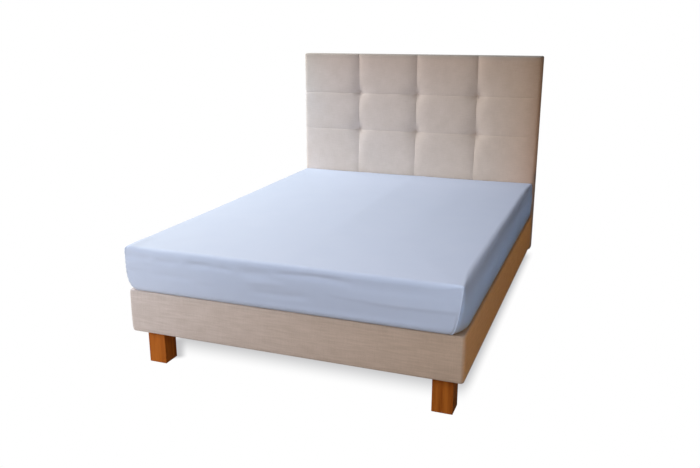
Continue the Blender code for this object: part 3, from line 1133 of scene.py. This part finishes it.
    def folds(self) -> list[Fold]:
        """The photographed folds: uneven hollows under the foot's edge, level ones, and pulls.

        A row has a fold's kind, its start and its end, its width and its rise, and then its bow and
        its end share where it has them of its own. Places are across or along the bed and above the
        base, and on the top they are across and along.

        Returns:
            The folds.
        """
        ridge, trough = FoldKind.RIDGE, FoldKind.TROUGH
        ledge, crease = FoldKind.LEDGE, FoldKind.CREASE
        at_foot = (
            (trough, (-0.745, 0.164), (-0.640, 0.164), 0.016, 0.0026),
            (trough, (-0.600, 0.157), (-0.490, 0.159), 0.012, 0.0030, -0.003),
            (trough, (-0.440, 0.158), (-0.325, 0.160), 0.016, 0.0052, 0.002),
            (trough, (-0.305, 0.158), (-0.235, 0.155), 0.010, 0.0042, 0.002),
            (trough, (-0.190, 0.158), (-0.065, 0.158), 0.017, 0.0048, -0.003),
            (trough, (-0.015, 0.166), (0.060, 0.170), 0.010, 0.0034),
            (trough, (0.065, 0.168), (0.290, 0.165), 0.014, 0.0056, 0.005, 0.22),
            (trough, (0.270, 0.160), (0.620, 0.163), 0.024, 0.0024, -0.003, 0.25),
            (ridge, (-0.575, 0.190), (-0.635, 0.140), 0.006, 0.0030, 0.002),
            (ridge, (-0.430, 0.176), (-0.330, 0.177), 0.007, 0.0014),
            (ledge, (-0.740, 0.110), (-0.672, 0.112), 0.010, 0.0026),
            (trough, (-0.620, 0.092), (-0.410, 0.094), 0.014, 0.0018, 0.003),
            (trough, (-0.400, 0.070), (-0.320, 0.076), 0.012, 0.0014),
            (trough, (-0.130, 0.077), (0.115, 0.084), 0.014, 0.0032, -0.004),
            (ridge, (-0.150, 0.116), (0.010, 0.120), 0.012, 0.0026, 0.003),
            (ledge, (0.220, 0.106), (0.400, 0.098), 0.010, 0.0018, -0.003),
            (ledge, (0.380, 0.094), (0.745, 0.100), 0.014, 0.0034, -0.004),
            (ridge, (-0.728, 0.092), (-0.700, 0.016), 0.007, 0.0022, 0.003),
            (ridge, (-0.708, 0.074), (-0.676, 0.012), 0.007, 0.0018, 0.002),
            (ridge, (-0.180, 0.018), (0.620, 0.018), 0.016, 0.0036, 0.0, 0.30),
        )
        at_right = (
            (ridge, (-0.990, 0.140), (-0.945, 0.016), 0.010, 0.0024, 0.004),
            (ridge, (-0.955, 0.120), (-0.915, 0.014), 0.010, 0.0016, 0.004),
            (trough, (-0.90, 0.160), (-0.84, 0.030), 0.022, 0.0016, 0.006),
            (ridge, (0.82, 0.130), (0.78, 0.020), 0.020, 0.0014, 0.004),
            (trough, (-0.70, 0.160), (-0.20, 0.156), 0.022, 0.0020, 0.004),
            (trough, (0.00, 0.156), (0.60, 0.162), 0.022, 0.0018, -0.004),
            (ledge, (-0.55, 0.096), (-0.10, 0.090), 0.016, 0.0014, 0.004),
            (ridge, (-0.88, 0.044), (0.10, 0.044), 0.040, 0.0024),
        )
        at_left = (
            (ridge, (-0.93, 0.120), (-0.88, 0.020), 0.018, 0.0016, 0.004),
            (ridge, (0.86, 0.140), (0.80, 0.020), 0.020, 0.0014, 0.004),
            (trough, (-0.60, 0.158), (-0.10, 0.156), 0.024, 0.0024, 0.005),
            (trough, (0.00, 0.162), (0.34, 0.154), 0.018, 0.0018, -0.003),
            (trough, (0.44, 0.156), (0.74, 0.160), 0.022, 0.0020, -0.004),
            (ledge, (0.50, 0.094), (0.05, 0.100), 0.016, 0.0014, 0.004),
        )
        on_top = (
            (ridge, (-0.728, -1.10), (-0.728, -0.90), 0.022, 0.0036),
            (crease, (0.010, -0.60), (0.026, 0.88), 0.090, 0.0040, 0.0, 0.30),
            (ridge, (0.36, -0.55), (0.39, 0.60), 0.070, 0.0010, 0.010),
            (trough, (-0.42, -0.62), (-0.38, 0.50), 0.080, 0.0008, 0.012),
            (ridge, (0.70, -0.98), (0.52, -0.76), 0.028, 0.0010, 0.006),
            (ridge, (-0.70, -0.98), (-0.54, -0.78), 0.028, 0.0010, -0.006),
        )
        sides = (
            (at_foot, lambda x, rise: (x, self.foot, self.base_top + rise)),
            (at_right, lambda y, rise: (self.side, y, self.base_top + rise)),
            (at_left, lambda y, rise: (-self.side, y, self.base_top + rise)),
            (on_top, lambda x, y: (x, y, self.top)),
        )
        return [
            Fold(kind, place(*start), place(*end), *rest)
            for rows, place in sides
            for kind, start, end, *rest in rows
        ]

    def seam_heights(self, past: np.ndarray, part: np.ndarray, walked: np.ndarray) -> np.ndarray:
        """A raised seam with a lower lap beside it: rise x exp(-(past / width) squared) and a step.

        Args:
            past: Each band point's distance past its seam.
            part: Each band row's part of the sheet.
            walked: Each band row's distance down from the top.

        Returns:
            The height of the seam at each band point.
        """
        stitches = np.sin(2 * np.pi * walked / self.stitch_pitch)[:, None]
        pucker = 1 + self.seam_pucker * stitches
        welt = self.seam_rise * pucker * np.exp(-((past / self.seam_width) ** 2))
        (starts, ends), (from_top, to_hem) = self.lap_ends, self.seam_fades
        lap = eased(past / starts) * (1 - eased((past - self.lap_stop) / ends))
        second = np.exp(-(((past - self.lap_width) / self.lap_edge) ** 2))
        height = welt + self.lap_rise * (lap * self.lap_share + second)
        left = walked[part < 2][-1] - walked
        fade = eased(walked / from_top) * eased(left / to_hem)
        return height * fade[:, None]

    def heights(
        self, cloak: Cloak, past: np.ndarray, part: np.ndarray, normals: np.ndarray
    ) -> np.ndarray:
        """How far each point is lifted: folds, seams and unevenness, and none of it underneath.

        Args:
            cloak: The sheet's cloak.
            past: Each band point's distance past its seam.
            part: Each band row's part of the sheet.
            normals: The normals of the cloak's points.

        Returns:
            One height for each point.
        """
        points = cloak.points()
        lifted = sum(fold.heights(points, normals) for fold in self.folds())
        x, y, z = points.T
        lifted += self.wave_rise * unevenness(x, y, self.waves, self.wave_lean * z)
        lifted *= np.clip((z - self.low.z) / self.low_fade, 0, 1)
        walked = run_lengths(cloak.bands, 0).mean(axis=1)
        seams = self.seam_heights(past, part, walked)[1:].ravel()
        lifted[-len(seams):] += seams
        return lifted

    def build(self, finish: bpy.types.Material) -> bpy.types.Object:
        """Makes the sheet, and works out the flat size and area of its cut, which nothing uses.

        Args:
            finish: The cotton.

        Returns:
            The sheet.
        """
        cloak, past, part = self.shape()
        made = cloak.mesh("fitted_sheet_cloth", finish)
        raise_surface(made, self.heights(cloak, past, part, normals_of(made)))
        self.thicken(made, cloak)
        finished(made, "fitted_sheet")
        depth = self.top - self.base_top
        reach = depth + self.turn_under
        flat = (2 * self.side + 2 * reach, self.head - self.foot + 2 * reach)
        area = flat[0] * flat[1] - 4 * reach**2
        return made

    def thicken(self, made: bpy.types.Object, cloak: Cloak) -> None:
        """Gives the cloth its thickness, and its hem twice that.

        Args:
            made: The sheet.
            cloak: The cloak that it was made from.
        """
        total = len(made.data.vertices)
        columns = cloak.bands.shape[1]
        thickness = made.vertex_groups.new(name="thickness")
        thickness.add(range(total), self.cloth / self.hem, "REPLACE")
        thickness.add(range(total - 3 * columns, total), 1.0, "REPLACE")
        shell = made.modifiers.new("cloth_thickness", "SOLIDIFY")
        shell.thickness = self.hem
        shell.offset = -1.0
        shell.vertex_group = thickness.name


@dataclass
class Mattress:
    """The mattress: it fills the sheet, with a little slack, and rests on its hem.

    Its sides follow the sheet's sections from the first of side_sections to the last. Its lower
    edge is drawn in by up to low_in times its own size, and turns are in degrees.
    """

    sheet: FittedSheet
    inset: float = 0.0085
    edge_radius: float = 0.034
    edge_turn: float = 85.0
    low_edge: float = 0.012
    low_turns: tuple[float, float] = (10.0, 90.0)
    low_in: float = 1.4
    least_curve: float = 0.007
    side_sections: tuple[float, float] = (1.0, 7.0)
    edge_rows: int = 6
    side_rows: int = 14
    low_rows: int = 5

    def build(self, finish: bpy.types.Material) -> bpy.types.Object:
        """Makes the mattress from the sheet's own rings, drawn in by the inset.

        Its upper edge is a quarter circle, and its lower edge is another of the low edge's size,
        with the hem's own rounder corners.

        Args:
            finish: The ticking.

        Returns:
            The mattress.
        """
        low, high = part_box("mattress")
        table = self.sheet.table()
        table[:, CURVES] = np.maximum(table[:, CURVES] - self.inset, self.least_curve)
        turn = np.radians(np.linspace(0, self.edge_turn, self.edge_rows))
        low_turn = np.radians(np.linspace(*self.low_turns, self.low_rows))
        edge = np.repeat(table[:1], self.edge_rows, axis=0)
        sides = smooth_table(table, np.linspace(*self.side_sections, self.side_rows))
        under = np.repeat(sides[-1:], self.low_rows, axis=0)
        under[:, SPREAD] = 0.0
        rounder = table[-1, CURVES] - under[:, CURVES]
        under[:, CURVES] += np.sin(low_turn)[:, None] * rounder
        crown = self.sheet.crown
        edge_z = high.z - crown - self.edge_radius * (1 - np.cos(turn))
        low_z = low.z + self.low_edge * (1 - np.sin(low_turn))
        height = np.concatenate([edge_z, self.sheet.base_top + sides[:, RISE], low_z])
        drawn = self.low_edge * (self.low_in - np.cos(low_turn))
        edge_in = self.edge_radius * (1 - np.sin(turn))
        within = self.inset + np.concatenate([edge_in, np.zeros(self.side_rows), drawn])
        flat, _ = self.sheet.rings(np.vstack([edge, sides, under]), within)
        bands = np.dstack([flat, np.repeat(height[:, None], flat.shape[1], axis=1)])
        top, bottom = (coons_patch(ring, self.sheet.cells) for ring in (bands[0], bands[-1]))
        across, along = (abs(top[:, :, axis]) / top[:, :, axis].max() for axis in (0, 1))
        top[:, :, 2] = high.z - crown * np.minimum(np.maximum(across, along), 1) ** 2
        made = Cloak(top, bands, bottom).mesh("mattress_body", finish)
        finished(made, "mattress")
        return made


@dataclass
class BedBase:
    """The upholstered box: upright corners of their own roundness, and cloth a little proud.

    Corners go anticlockwise from the foot's right one. Each half of one has as many points as
    turns says. Columns stand at the corner steps along its arc, and then at those beside it.
    """

    corners: tuple[float, float, float, float] = (0.014, 0.012, 0.012, 0.017)
    least_corner: float = 0.003
    corner_steps: tuple[float, ...] = (0.2, 0.4, 0.6, 0.8, 1.0)
    beside_corner: tuple[float, float] = (0.012, 0.030)
    edge: float = 0.009
    proud: float = 0.0018
    cells: tuple[int, int] = (60, 80)
    side_rows: int = 18
    edge_rows: int = 6
    turns: int = 8

    def outline(self, half: np.ndarray, inset: np.ndarray) -> np.ndarray:
        """Rings of a rounded rectangle about the origin, in the order that border() gives.

        Args:
            half: Half its width and length.
            inset: How far each ring lies within it.

        Returns:
            Rings x columns x X and Y.
        """
        across, along = self.cells
        angles = np.linspace(0, np.pi / 2, 2 * self.turns + 1)
        signs = ((1, -1), (1, 1), (-1, 1), (-1, -1))
        rings = []
        for short in inset:
            parts = []
            for (sx, sy), corner, turn in zip(signs, self.corners, np.arange(4) * np.pi / 2):
                radius = max(corner - short / 2, self.least_corner)
                width, length = half - short - radius
                x = sx * width + radius * np.sin(angles + turn)
                y = sy * length - radius * np.cos(angles + turn)
                parts.append(np.stack([x, y], axis=1))
            line = np.roll(np.vstack(parts), -self.turns, axis=0)
            line = np.vstack([line, line[:1]])
            walked = run_lengths(line, 0)
            marks = walked[[0, *(np.arange(1, 4) * (2 * self.turns + 1)), -1]]
            places = [
                start + mirrored_steps(self.near(), np.array([end - start]), cells)[0]
                for start, end, cells in zip(marks, marks[1:], (along, across, along, across))
            ]
            at = np.concatenate(places)
            ring = [np.interp(at, walked, line[:, axis]) for axis in (0, 1)]
            rings.append(np.stack(ring, axis=1))
        return np.array(rings)

    def near(self) -> tuple[float, ...]:
        """Steps that follow the roundest corner's arc, and then spread."""
        arc = max(self.corners) * np.pi / 4
        on_arc = tuple(arc * share for share in self.corner_steps)
        return on_arc + tuple(arc + step for step in self.beside_corner)

    def build(self, finish: bpy.types.Material) -> bpy.types.Object:
        """Makes the box in its node's place.

        Its level edges are quarter circles. Its sides stand proud by proud x sin of the way up,
        apart from the back, which stays flat behind the headboard.

        Args:
            finish: The linen.

        Returns:
            The base.
        """
        low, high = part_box("bed_base")
        half = np.array([high.x - low.x, high.y - low.y]) / 2
        turn = np.radians(np.linspace(0, 90, self.edge_rows))
        edge_in = self.edge * (1 - np.sin(turn))
        edge_down = self.edge * (1 - np.cos(turn))
        way = np.linspace(0, 1, self.side_rows + 2)[1:-1]
        tall = high.z - low.z
        swell = -self.proud * np.sin(np.pi * way) ** 0.5
        inset = np.concatenate([edge_in, swell, edge_in[::-1]])
        straight = self.edge + way * (tall - 2 * self.edge)
        down = np.concatenate([edge_down, straight, tall - edge_down[::-1]])
        flat = self.outline(half, inset) + np.array([low.x + high.x, low.y + high.y]) / 2
        flat[:, :, 1] = np.minimum(flat[:, :, 1], high.y)
        bands = np.dstack([flat, np.repeat((high.z - down)[:, None], flat.shape[1], axis=1)])
        caps = [coons_patch(ring, self.cells) for ring in (bands[0], bands[-1])]
        made = Cloak(caps[0], bands, caps[1]).mesh("bed_base_box", finish)
        finished(made, "bed_base")
        return made


@dataclass
class Headboard:
    """The tufted panel. Upright and level seams draw its padding in, most where they cross."""

    # Where its seams lie, and how it is rounded.
    columns: int = 4
    level_seams: tuple[float, float] = (0.850, 1.086)
    level_tilt: float = 0.0045
    side_inset: float = 0.0045
    face_radius: float = 0.018
    top_radius: float = 0.006
    back_radius: float = 0.005
    back_turns: tuple[float, ...] = (30.0, 60.0, 90.0)
    depth_rows: int = 6
    corner: float = 0.010

    # The seams: an upright one ends low down and slackens on its way, and a level one is held most
    # near an upright one.
    upright_depth: float = 0.013
    upright_reach: float = 0.028
    seam_end: float = 0.44
    seam_fade: float = 0.06
    slack: float = 0.4
    slack_until: float = 0.60
    level_depth: float = 0.0038
    level_reach: float = 0.014
    level_far: float = 0.40
    level_spreads: tuple[float, float] = (0.160, 0.056)

    # The tufts where they cross, the stitches, a pleat beside each upright seam, and the pulls.
    tuft_depth: float = 0.026
    tuft_reach: float = 0.034
    tuft_lift: float = 0.006
    stitch_depth: float = 0.0008
    stitch_width: float = 0.0024
    pleat_share: float = 0.6
    pleat_offset: float = 0.011
    pleat_width: float = 0.0025
    pull_count: int = 6
    pull_turn: float = 0.6
    pull_relief: float = 0.0009
    pull_start: float = 0.02
    pull_reach: float = 0.045

    # The padding's unevenness away from the seams, and how far each side falls back, and how soon.
    wave_rise: float = 0.0006
    waves: tuple[float, ...] = (31.0, 2.0, 9.0, 23.0, 1.7, 13.0)
    wave_start: float = 0.03
    left_rim: tuple[float, float] = (0.004, 0.014)
    right_rim: tuple[float, float] = (0.014, 0.030)

    # Where its painted shade and painted light reach, and the width of the painted shade along its
    # top edge.
    shade_from: float = 0.58
    shade_reach: float = 0.35
    painted_light_reach: float = 0.30
    bound_width: float = 0.009

    # Its grid lines: how far apart they are, to how many decimals they are rounded, and how far
    # from each rim and seam they crowd.
    line_pitch: float = 0.018
    line_digits: int = 6
    beside_rim: tuple[float, ...] = (0.003, 0.005, 0.0075, 0.0105, 0.014, 0.019, 0.026, 0.035)
    beside_seam: tuple[float, ...] = (0.0014, *beside_rim, 0.048, 0.066, 0.09)

    def __post_init__(self) -> None:
        """Reads the panel's box, places its upright seams and draws its sides in a little."""
        self.low, self.high = (corner.copy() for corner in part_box("headboard"))
        pitch = (self.high.x - self.low.x) / self.columns
        self.upright_seams = self.low.x + pitch * np.arange(1, self.columns)
        self.low.x, self.high.x = self.low.x + self.side_inset, self.high.x - self.side_inset

    def fades(self) -> tuple[PaintedShade, ...]:
        """Painted shade darkens the panel's linen upward and to the right, and painted light makes
        it paler low on the left.
        """
        up = (Way.UP, self.shade_from, self.high.z)
        down = (Way.UP, self.high.z, self.shade_from)
        top = (Way.UP, self.high.z - self.shade_reach, self.high.z)
        left = (Way.ACROSS, self.low.x + self.painted_light_reach, self.low.x)
        right = (Way.ACROSS, self.high.x - self.shade_reach, self.high.x)
        return (
            # Painted shade upward, at the top and to the right, and painted light low on the left.
            PaintedShade((0.797, 0.833, 0.937), (up,)),
            PaintedShade((0.923, 0.866, 0.815), (top, top)),
            PaintedShade((1.20, 1.24, 1.32), (left, left, down)),
            PaintedShade((1.04, 1.12, 1.12), (left, left, up)),
            PaintedShade((0.824, 0.711, 0.584), (right, right, up)),
            PaintedShade((1.045, 0.874, 0.807), (right, right, down)),
        )

    def lines(self, seams: np.ndarray, low: float, high: float) -> np.ndarray:
        """Grid lines that crowd about each seam and at both ends, and are evenly apart between.

        Args:
            seams: Where the seams lie.
            low: The first line.
            high: The last line.

        Returns:
            The lines, from low to high.
        """
        beside_seam, beside_rim = np.array(self.beside_seam), np.array(self.beside_rim)
        at_seams = (seams[:, None] + np.concatenate([-beside_seam, [0.0], beside_seam])).ravel()
        marks = np.concatenate([at_seams, low + beside_rim, high - beside_rim, [low, high]])
        even = np.arange(low, high, self.line_pitch)
        free = even[abs(nearest(even, marks)) > self.line_pitch / 2]
        lines = np.round(np.concatenate([marks, free]), self.line_digits)
        return np.unique(np.clip(lines, *np.round([low, high], self.line_digits)))

    def dips(self, x: np.ndarray, z: np.ndarray) -> np.ndarray:
        """How far the face lies behind its highest crowns.

        A seam's dip is depth x exp(-distance / reach), a tuft's is the same about a crossing, a
        line of stitches is a narrow groove, and pulls ripple round each tuft as it fades. Upright
        seams are slacker below the lowest tufts, and level ones are tightest left of each tuft.

        Args:
            x: Places across the panel.
            z: Heights.

        Returns:
            The dip at each point.
        """
        levels = np.array(self.level_seams)
        tilted = self.level_tilt * (x / (self.high.x - self.low.x) + 0.5)
        side, over = nearest(x, self.upright_seams), nearest(z - tilted, levels)
        across, level = abs(side), abs(over)
        away = np.hypot(across, over - self.tuft_lift)

        pulled = eased((z - self.slack_until) / (levels[0] - self.slack_until))
        tight = self.slack + (1 - self.slack) * pulled
        spread = np.where(side < 0, *self.level_spreads)
        held = self.level_far + (1 - self.level_far) * np.exp(-across / spread)
        upright = tight * self.upright_depth * np.exp(-across / self.upright_reach)
        flat = self.level_depth * held * np.exp(-level / self.level_reach)
        tuft = self.tuft_depth * np.exp(-away / self.tuft_reach)

        stitches = tight**2 * np.exp(-((across / self.stitch_width) ** 2))
        stitches += held * np.exp(-((level / self.stitch_width) ** 2))
        pleat = self.pleat_share * np.exp(-(((side - self.pleat_offset) / self.pleat_width) ** 2))
        ripple = np.cos(self.pull_count * np.arctan2(over, side) + self.pull_turn)
        fading = np.exp(-away / self.pull_reach) * eased(away / self.pull_start)
        seams = upright + flat + tuft + self.stitch_depth * (stitches + pleat)
        seams += self.pull_relief * ripple * fading

        soft = self.wave_rise * unevenness(x, z, self.waves) * eased(across / self.wave_start)
        (left, left_reach), (right, right_reach) = self.left_rim, self.right_rim
        rim = left * np.exp((self.low.x - x) / left_reach)
        rim += right * np.exp((x - self.high.x) / right_reach)
        return np.maximum(eased((z - self.seam_end) / self.seam_fade) * seams + soft + rim, 0.0)

    def rounding(self, x: np.ndarray, z: np.ndarray) -> np.ndarray:
        """How far the face has turned back near its rim: radius - sqrt(radius sq. - left sq.)."""
        top = (self.high.z - z) * (self.face_radius / self.top_radius)
        edge = np.minimum(np.minimum(self.high.x - abs(x), top), z - self.low.z)
        left = np.clip(self.face_radius - edge, 0, self.face_radius)
        return self.face_radius - np.sqrt(np.maximum(self.face_radius**2 - left**2, 0))

    def rounded(self, x: np.ndarray, z: np.ndarray) -> tuple[np.ndarray, np.ndarray]:
        """Turns the panel's square corners into quarter circles, as a square is mapped to a disc.

        Args:
            x: Places across.
            z: Heights.

        Returns:
            The moved places and heights.
        """
        u = np.clip((abs(x) - (self.high.x - self.corner)) / self.corner, 0, 1)
        middle = (self.high.z + self.low.z) / 2
        tall = (self.high.z - self.low.z) / 2
        v = np.clip((abs(z - middle) - (tall - self.corner)) / self.corner, 0, 1)
        x = x - np.sign(x) * self.corner * u * (1 - np.sqrt(1 - v**2 / 2))
        z = z - np.sign(z - middle) * self.corner * v * (1 - np.sqrt(1 - u**2 / 2))
        return x, z

    def build(self, finish: bpy.types.Material) -> bpy.types.Object:
        """Makes the panel: its tufted face, its sides and its flat back.

        Args:
            finish: The linen.

        Returns:
            The panel.
        """
        across = self.lines(self.upright_seams, self.low.x, self.high.x)
        upward = self.lines(np.array(self.level_seams), self.low.z, self.high.z)
        x, z = np.meshgrid(across, upward)
        y = self.low.y + self.dips(x, z) + self.rounding(x, z)
        moved_x, moved_z = self.rounded(x, z)
        front = np.dstack([moved_x, y, moved_z])

        rim = border(front)
        start = np.maximum(rim[:, 1], self.low.y + self.face_radius)
        back = self.high.y - self.back_radius
        sides = np.repeat(rim[None], self.depth_rows + 1, axis=0)
        deep = np.linspace(0, 1, self.depth_rows + 1)[1:, None]
        sides[1:, :, 1] = start + deep * (back - start)

        turn = np.radians(self.back_turns)[:, None]
        middle = np.array([0.0, 0.0, (self.low.z + self.high.z) / 2])
        half = np.array([self.high.x, np.inf, (self.high.z - self.low.z) / 2])
        inward = self.back_radius * (1 - np.cos(turn)) / half
        turned = middle + (sides[-1] - middle) * (1 - inward[:, None])
        turned[:, :, 1] = back + self.back_radius * np.sin(turn)

        bands = np.concatenate([sides, turned])
        cells = (len(across) - 1, len(upward) - 1)
        cloak = Cloak(front, bands, coons_patch(bands[-1], cells))
        made = cloak.mesh("headboard_panel", finish)
        finished(made, "headboard")
        return made


@dataclass
class Legs:
    """The four wooden blocks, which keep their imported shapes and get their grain."""

    ends: tuple[str, ...] = ("front", "back")
    sides: tuple[str, ...] = ("left", "right")

    def dress(self, finish: bpy.types.Material) -> None:
        """Gives each leg the wood.

        Args:
            finish: The wood.
        """
        for name in (f"leg_{end}_{side}" for end in self.ends for side in self.sides):
            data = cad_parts[name].data
            data.materials.clear()
            data.materials.append(finish)
            LOG.info("%s: packed shape, %s", name, finish.name)


# The studio --------------------------------------------------------------------------------------


@dataclass(frozen=True)
class Softbox:
    """A flat light that faces a point. A grid on its front can narrow what it lights."""

    name: str
    place: Point
    target: Point
    width: float
    height: float
    watts: float
    colour: Colour
    spread: float = 180.0

    def build(self) -> bpy.types.Object:
        """Makes the light."""
        lamp = bpy.data.lights.new(self.name, "AREA")
        lamp.energy = self.watts
        lamp.shape = "RECTANGLE"
        lamp.size = self.width
        lamp.size_y = self.height
        lamp.spread = np.radians(self.spread)
        lamp.color = self.colour
        made = bpy.data.objects.new(self.name, lamp)
        made.location = self.place
        facing = Vector(self.target) - Vector(self.place)
        made.rotation_euler = facing.to_track_quat("-Z", "Y").to_euler()
        made.visible_camera = False
        bpy.context.scene.collection.objects.link(made)
        return made


@dataclass(frozen=True)
class Strip:
    """A narrow light beside the bed, level with what it faces, behind a grid."""

    name: str
    along: float
    up: float
    width: float
    height: float
    watts: float
    colour: Colour
    spread: float
    beside: float = 1.45

    def softbox(self) -> Softbox:
        """The light."""
        place, target = (self.beside, self.along, self.up), (0.0, self.along, self.up)
        return Softbox(
            self.name, place, target, self.width, self.height, self.watts, self.colour, self.spread
        )


@dataclass
class Studio:
    """The floor, the lights, the surroundings and the camera at the photographed angle."""

    camera_place: Point = (1.2538, -3.5928, 1.4981)
    camera_turn: float = np.radians(20.4487)
    camera_dip: float = np.radians(15.7062)
    camera_lens: float = 37.755
    camera_sensor: float = 36.0
    floor_size: float = 60.0
    surroundings: Colour = WHITE
    surroundings_strength: float = 0.01
    softboxes: tuple[Softbox, ...] = (
        Softbox("window", (-2.4, 0.3, 3.0), (0, 0.1, 0.5), 1.0, 1.0, 65.8, (0.992, 1, 0.970)),
        Softbox("window_back", (-1.8, 0.9, 3.2), (0, 0.1, 0.5), 1.0, 1.0, 46.4, (1, 0.996, 0.955)),
        Softbox("low_left", (-2.4, -2.4, 1.0), (0, 0.1, 0.5), 1.0, 1.0, 45.9, (0.94, 0.983, 1)),
        Softbox("front_high", (0.2, -1.8, 3.0), (0, 0, 0.5), 1.2, 1.2, 18.8, (0.995, 1, 0.965)),
        Softbox("front_fill", (0.3, -3.0, 1.8), (0, -0.4, 0.5), 1.2, 1.2, 14.9, (0.987, 0.993, 1)),
        Softbox("right_fill", (3.0, -3.2, 2.2), (0, -0.3, 0.5), 2.0, 2.0, 18.8, (1, 0.99, 0.856)),
        Softbox("back_fill", (0, 4.6, 0.7), (0, 1, 0.7), 1.0, 1.0, 42.0, WHITE),
    )
    strips: tuple[Strip, ...] = (
        Strip("edge_strip", -0.08, 0.54, 2.1, 0.06, 0.12, (0.70, 0.82, 1.0), 16.0),
        Strip("side_strip", -0.08, 0.45, 2.1, 0.10, 0.133, (0.55, 0.78, 1.0), 6.0),
        Strip("base_strip", -0.08, 0.28, 2.1, 0.20, 0.29, (1.0, 0.44, 0.0), 4.0),
        Strip("head_strip", 1.0, 0.99, 0.10, 0.70, 0.032, (1.0, 0.80, 0.62), 4.0),
    )

    def build(self) -> None:
        """Makes everything that isn't part of the bed."""
        scene = bpy.context.scene
        scene.view_settings.view_transform = "Standard"
        self.build_floor()
        self.build_world()
        for light in (*self.softboxes, *(strip.softbox() for strip in self.strips)):
            light.build()
        lens = bpy.data.cameras.new("camera")
        lens.lens = self.camera_lens
        lens.sensor_width = self.camera_sensor
        camera = bpy.data.objects.new("camera", lens)
        camera.location = self.camera_place
        camera.rotation_euler = (np.pi / 2 - self.camera_dip, 0.0, self.camera_turn)
        scene.collection.objects.link(camera)
        scene.camera = camera

    def build_floor(self) -> None:
        """Makes the floor, a level square."""
        half = self.floor_size / 2
        data = bpy.data.meshes.new("studio_floor")
        corners = [(x * half, y * half, 0.0) for x, y in ((-1, -1), (1, -1), (1, 1), (-1, 1))]
        data.from_pydata(corners, [], [(0, 1, 2, 3)])
        data.materials.append(FloorFinish().material())
        floor = bpy.data.objects.new("studio_floor", data)
        bpy.context.scene.collection.objects.link(floor)

    def build_world(self) -> None:
        """Surrounds the bed with soft light, behind which the camera sees white."""
        world = bpy.data.worlds.new("studio")
        bpy.context.scene.world = world
        world.use_nodes = True
        nodes, links = world.node_tree.nodes, world.node_tree.links
        shade = nodes["Background"]
        shade.inputs["Color"].default_value = (*self.surroundings, 1.0)
        shade.inputs["Strength"].default_value = self.surroundings_strength
        white = nodes.new("ShaderNodeBackground")
        white.inputs["Color"].default_value = (*WHITE, 1.0)
        path = nodes.new("ShaderNodeLightPath")
        choice = nodes.new("ShaderNodeMixShader")
        links.new(path.outputs["Is Camera Ray"], choice.inputs[0])
        links.new(shade.outputs[0], choice.inputs[1])
        links.new(white.outputs[0], choice.inputs[2])
        links.new(choice.outputs[0], nodes["World Output"].inputs["Surface"])


def main() -> None:
    """Builds the bed and the studio."""
    logging.basicConfig(level=logging.INFO, format="%(name)s %(message)s")
    panel = Headboard()
    linen = LinenFinish(
        "headboard_linen",
        light=(0.711, 0.627, 0.582),
        dark=(0.588, 0.511, 0.460),
        shade_climb=0.9,
        fades=panel.fades(),
        bound=panel.high.z - panel.bound_width,
        slub_size=(0.045, 0.0045),
        slub_contrast=0.77,
        thread_contrast=0.54,
        upright_contrast=0.48,
    )
    sheet = FittedSheet()
    Mattress(sheet).build(TickingFinish().material())
    sheet.build(CottonFinish(fades=sheet.fades()).material())
    BedBase().build(LinenFinish().material())
    panel.build(linen.material())
    Legs().dress(WoodFinish().material())
    Studio().build()


if __name__ == "__main__":
    main()
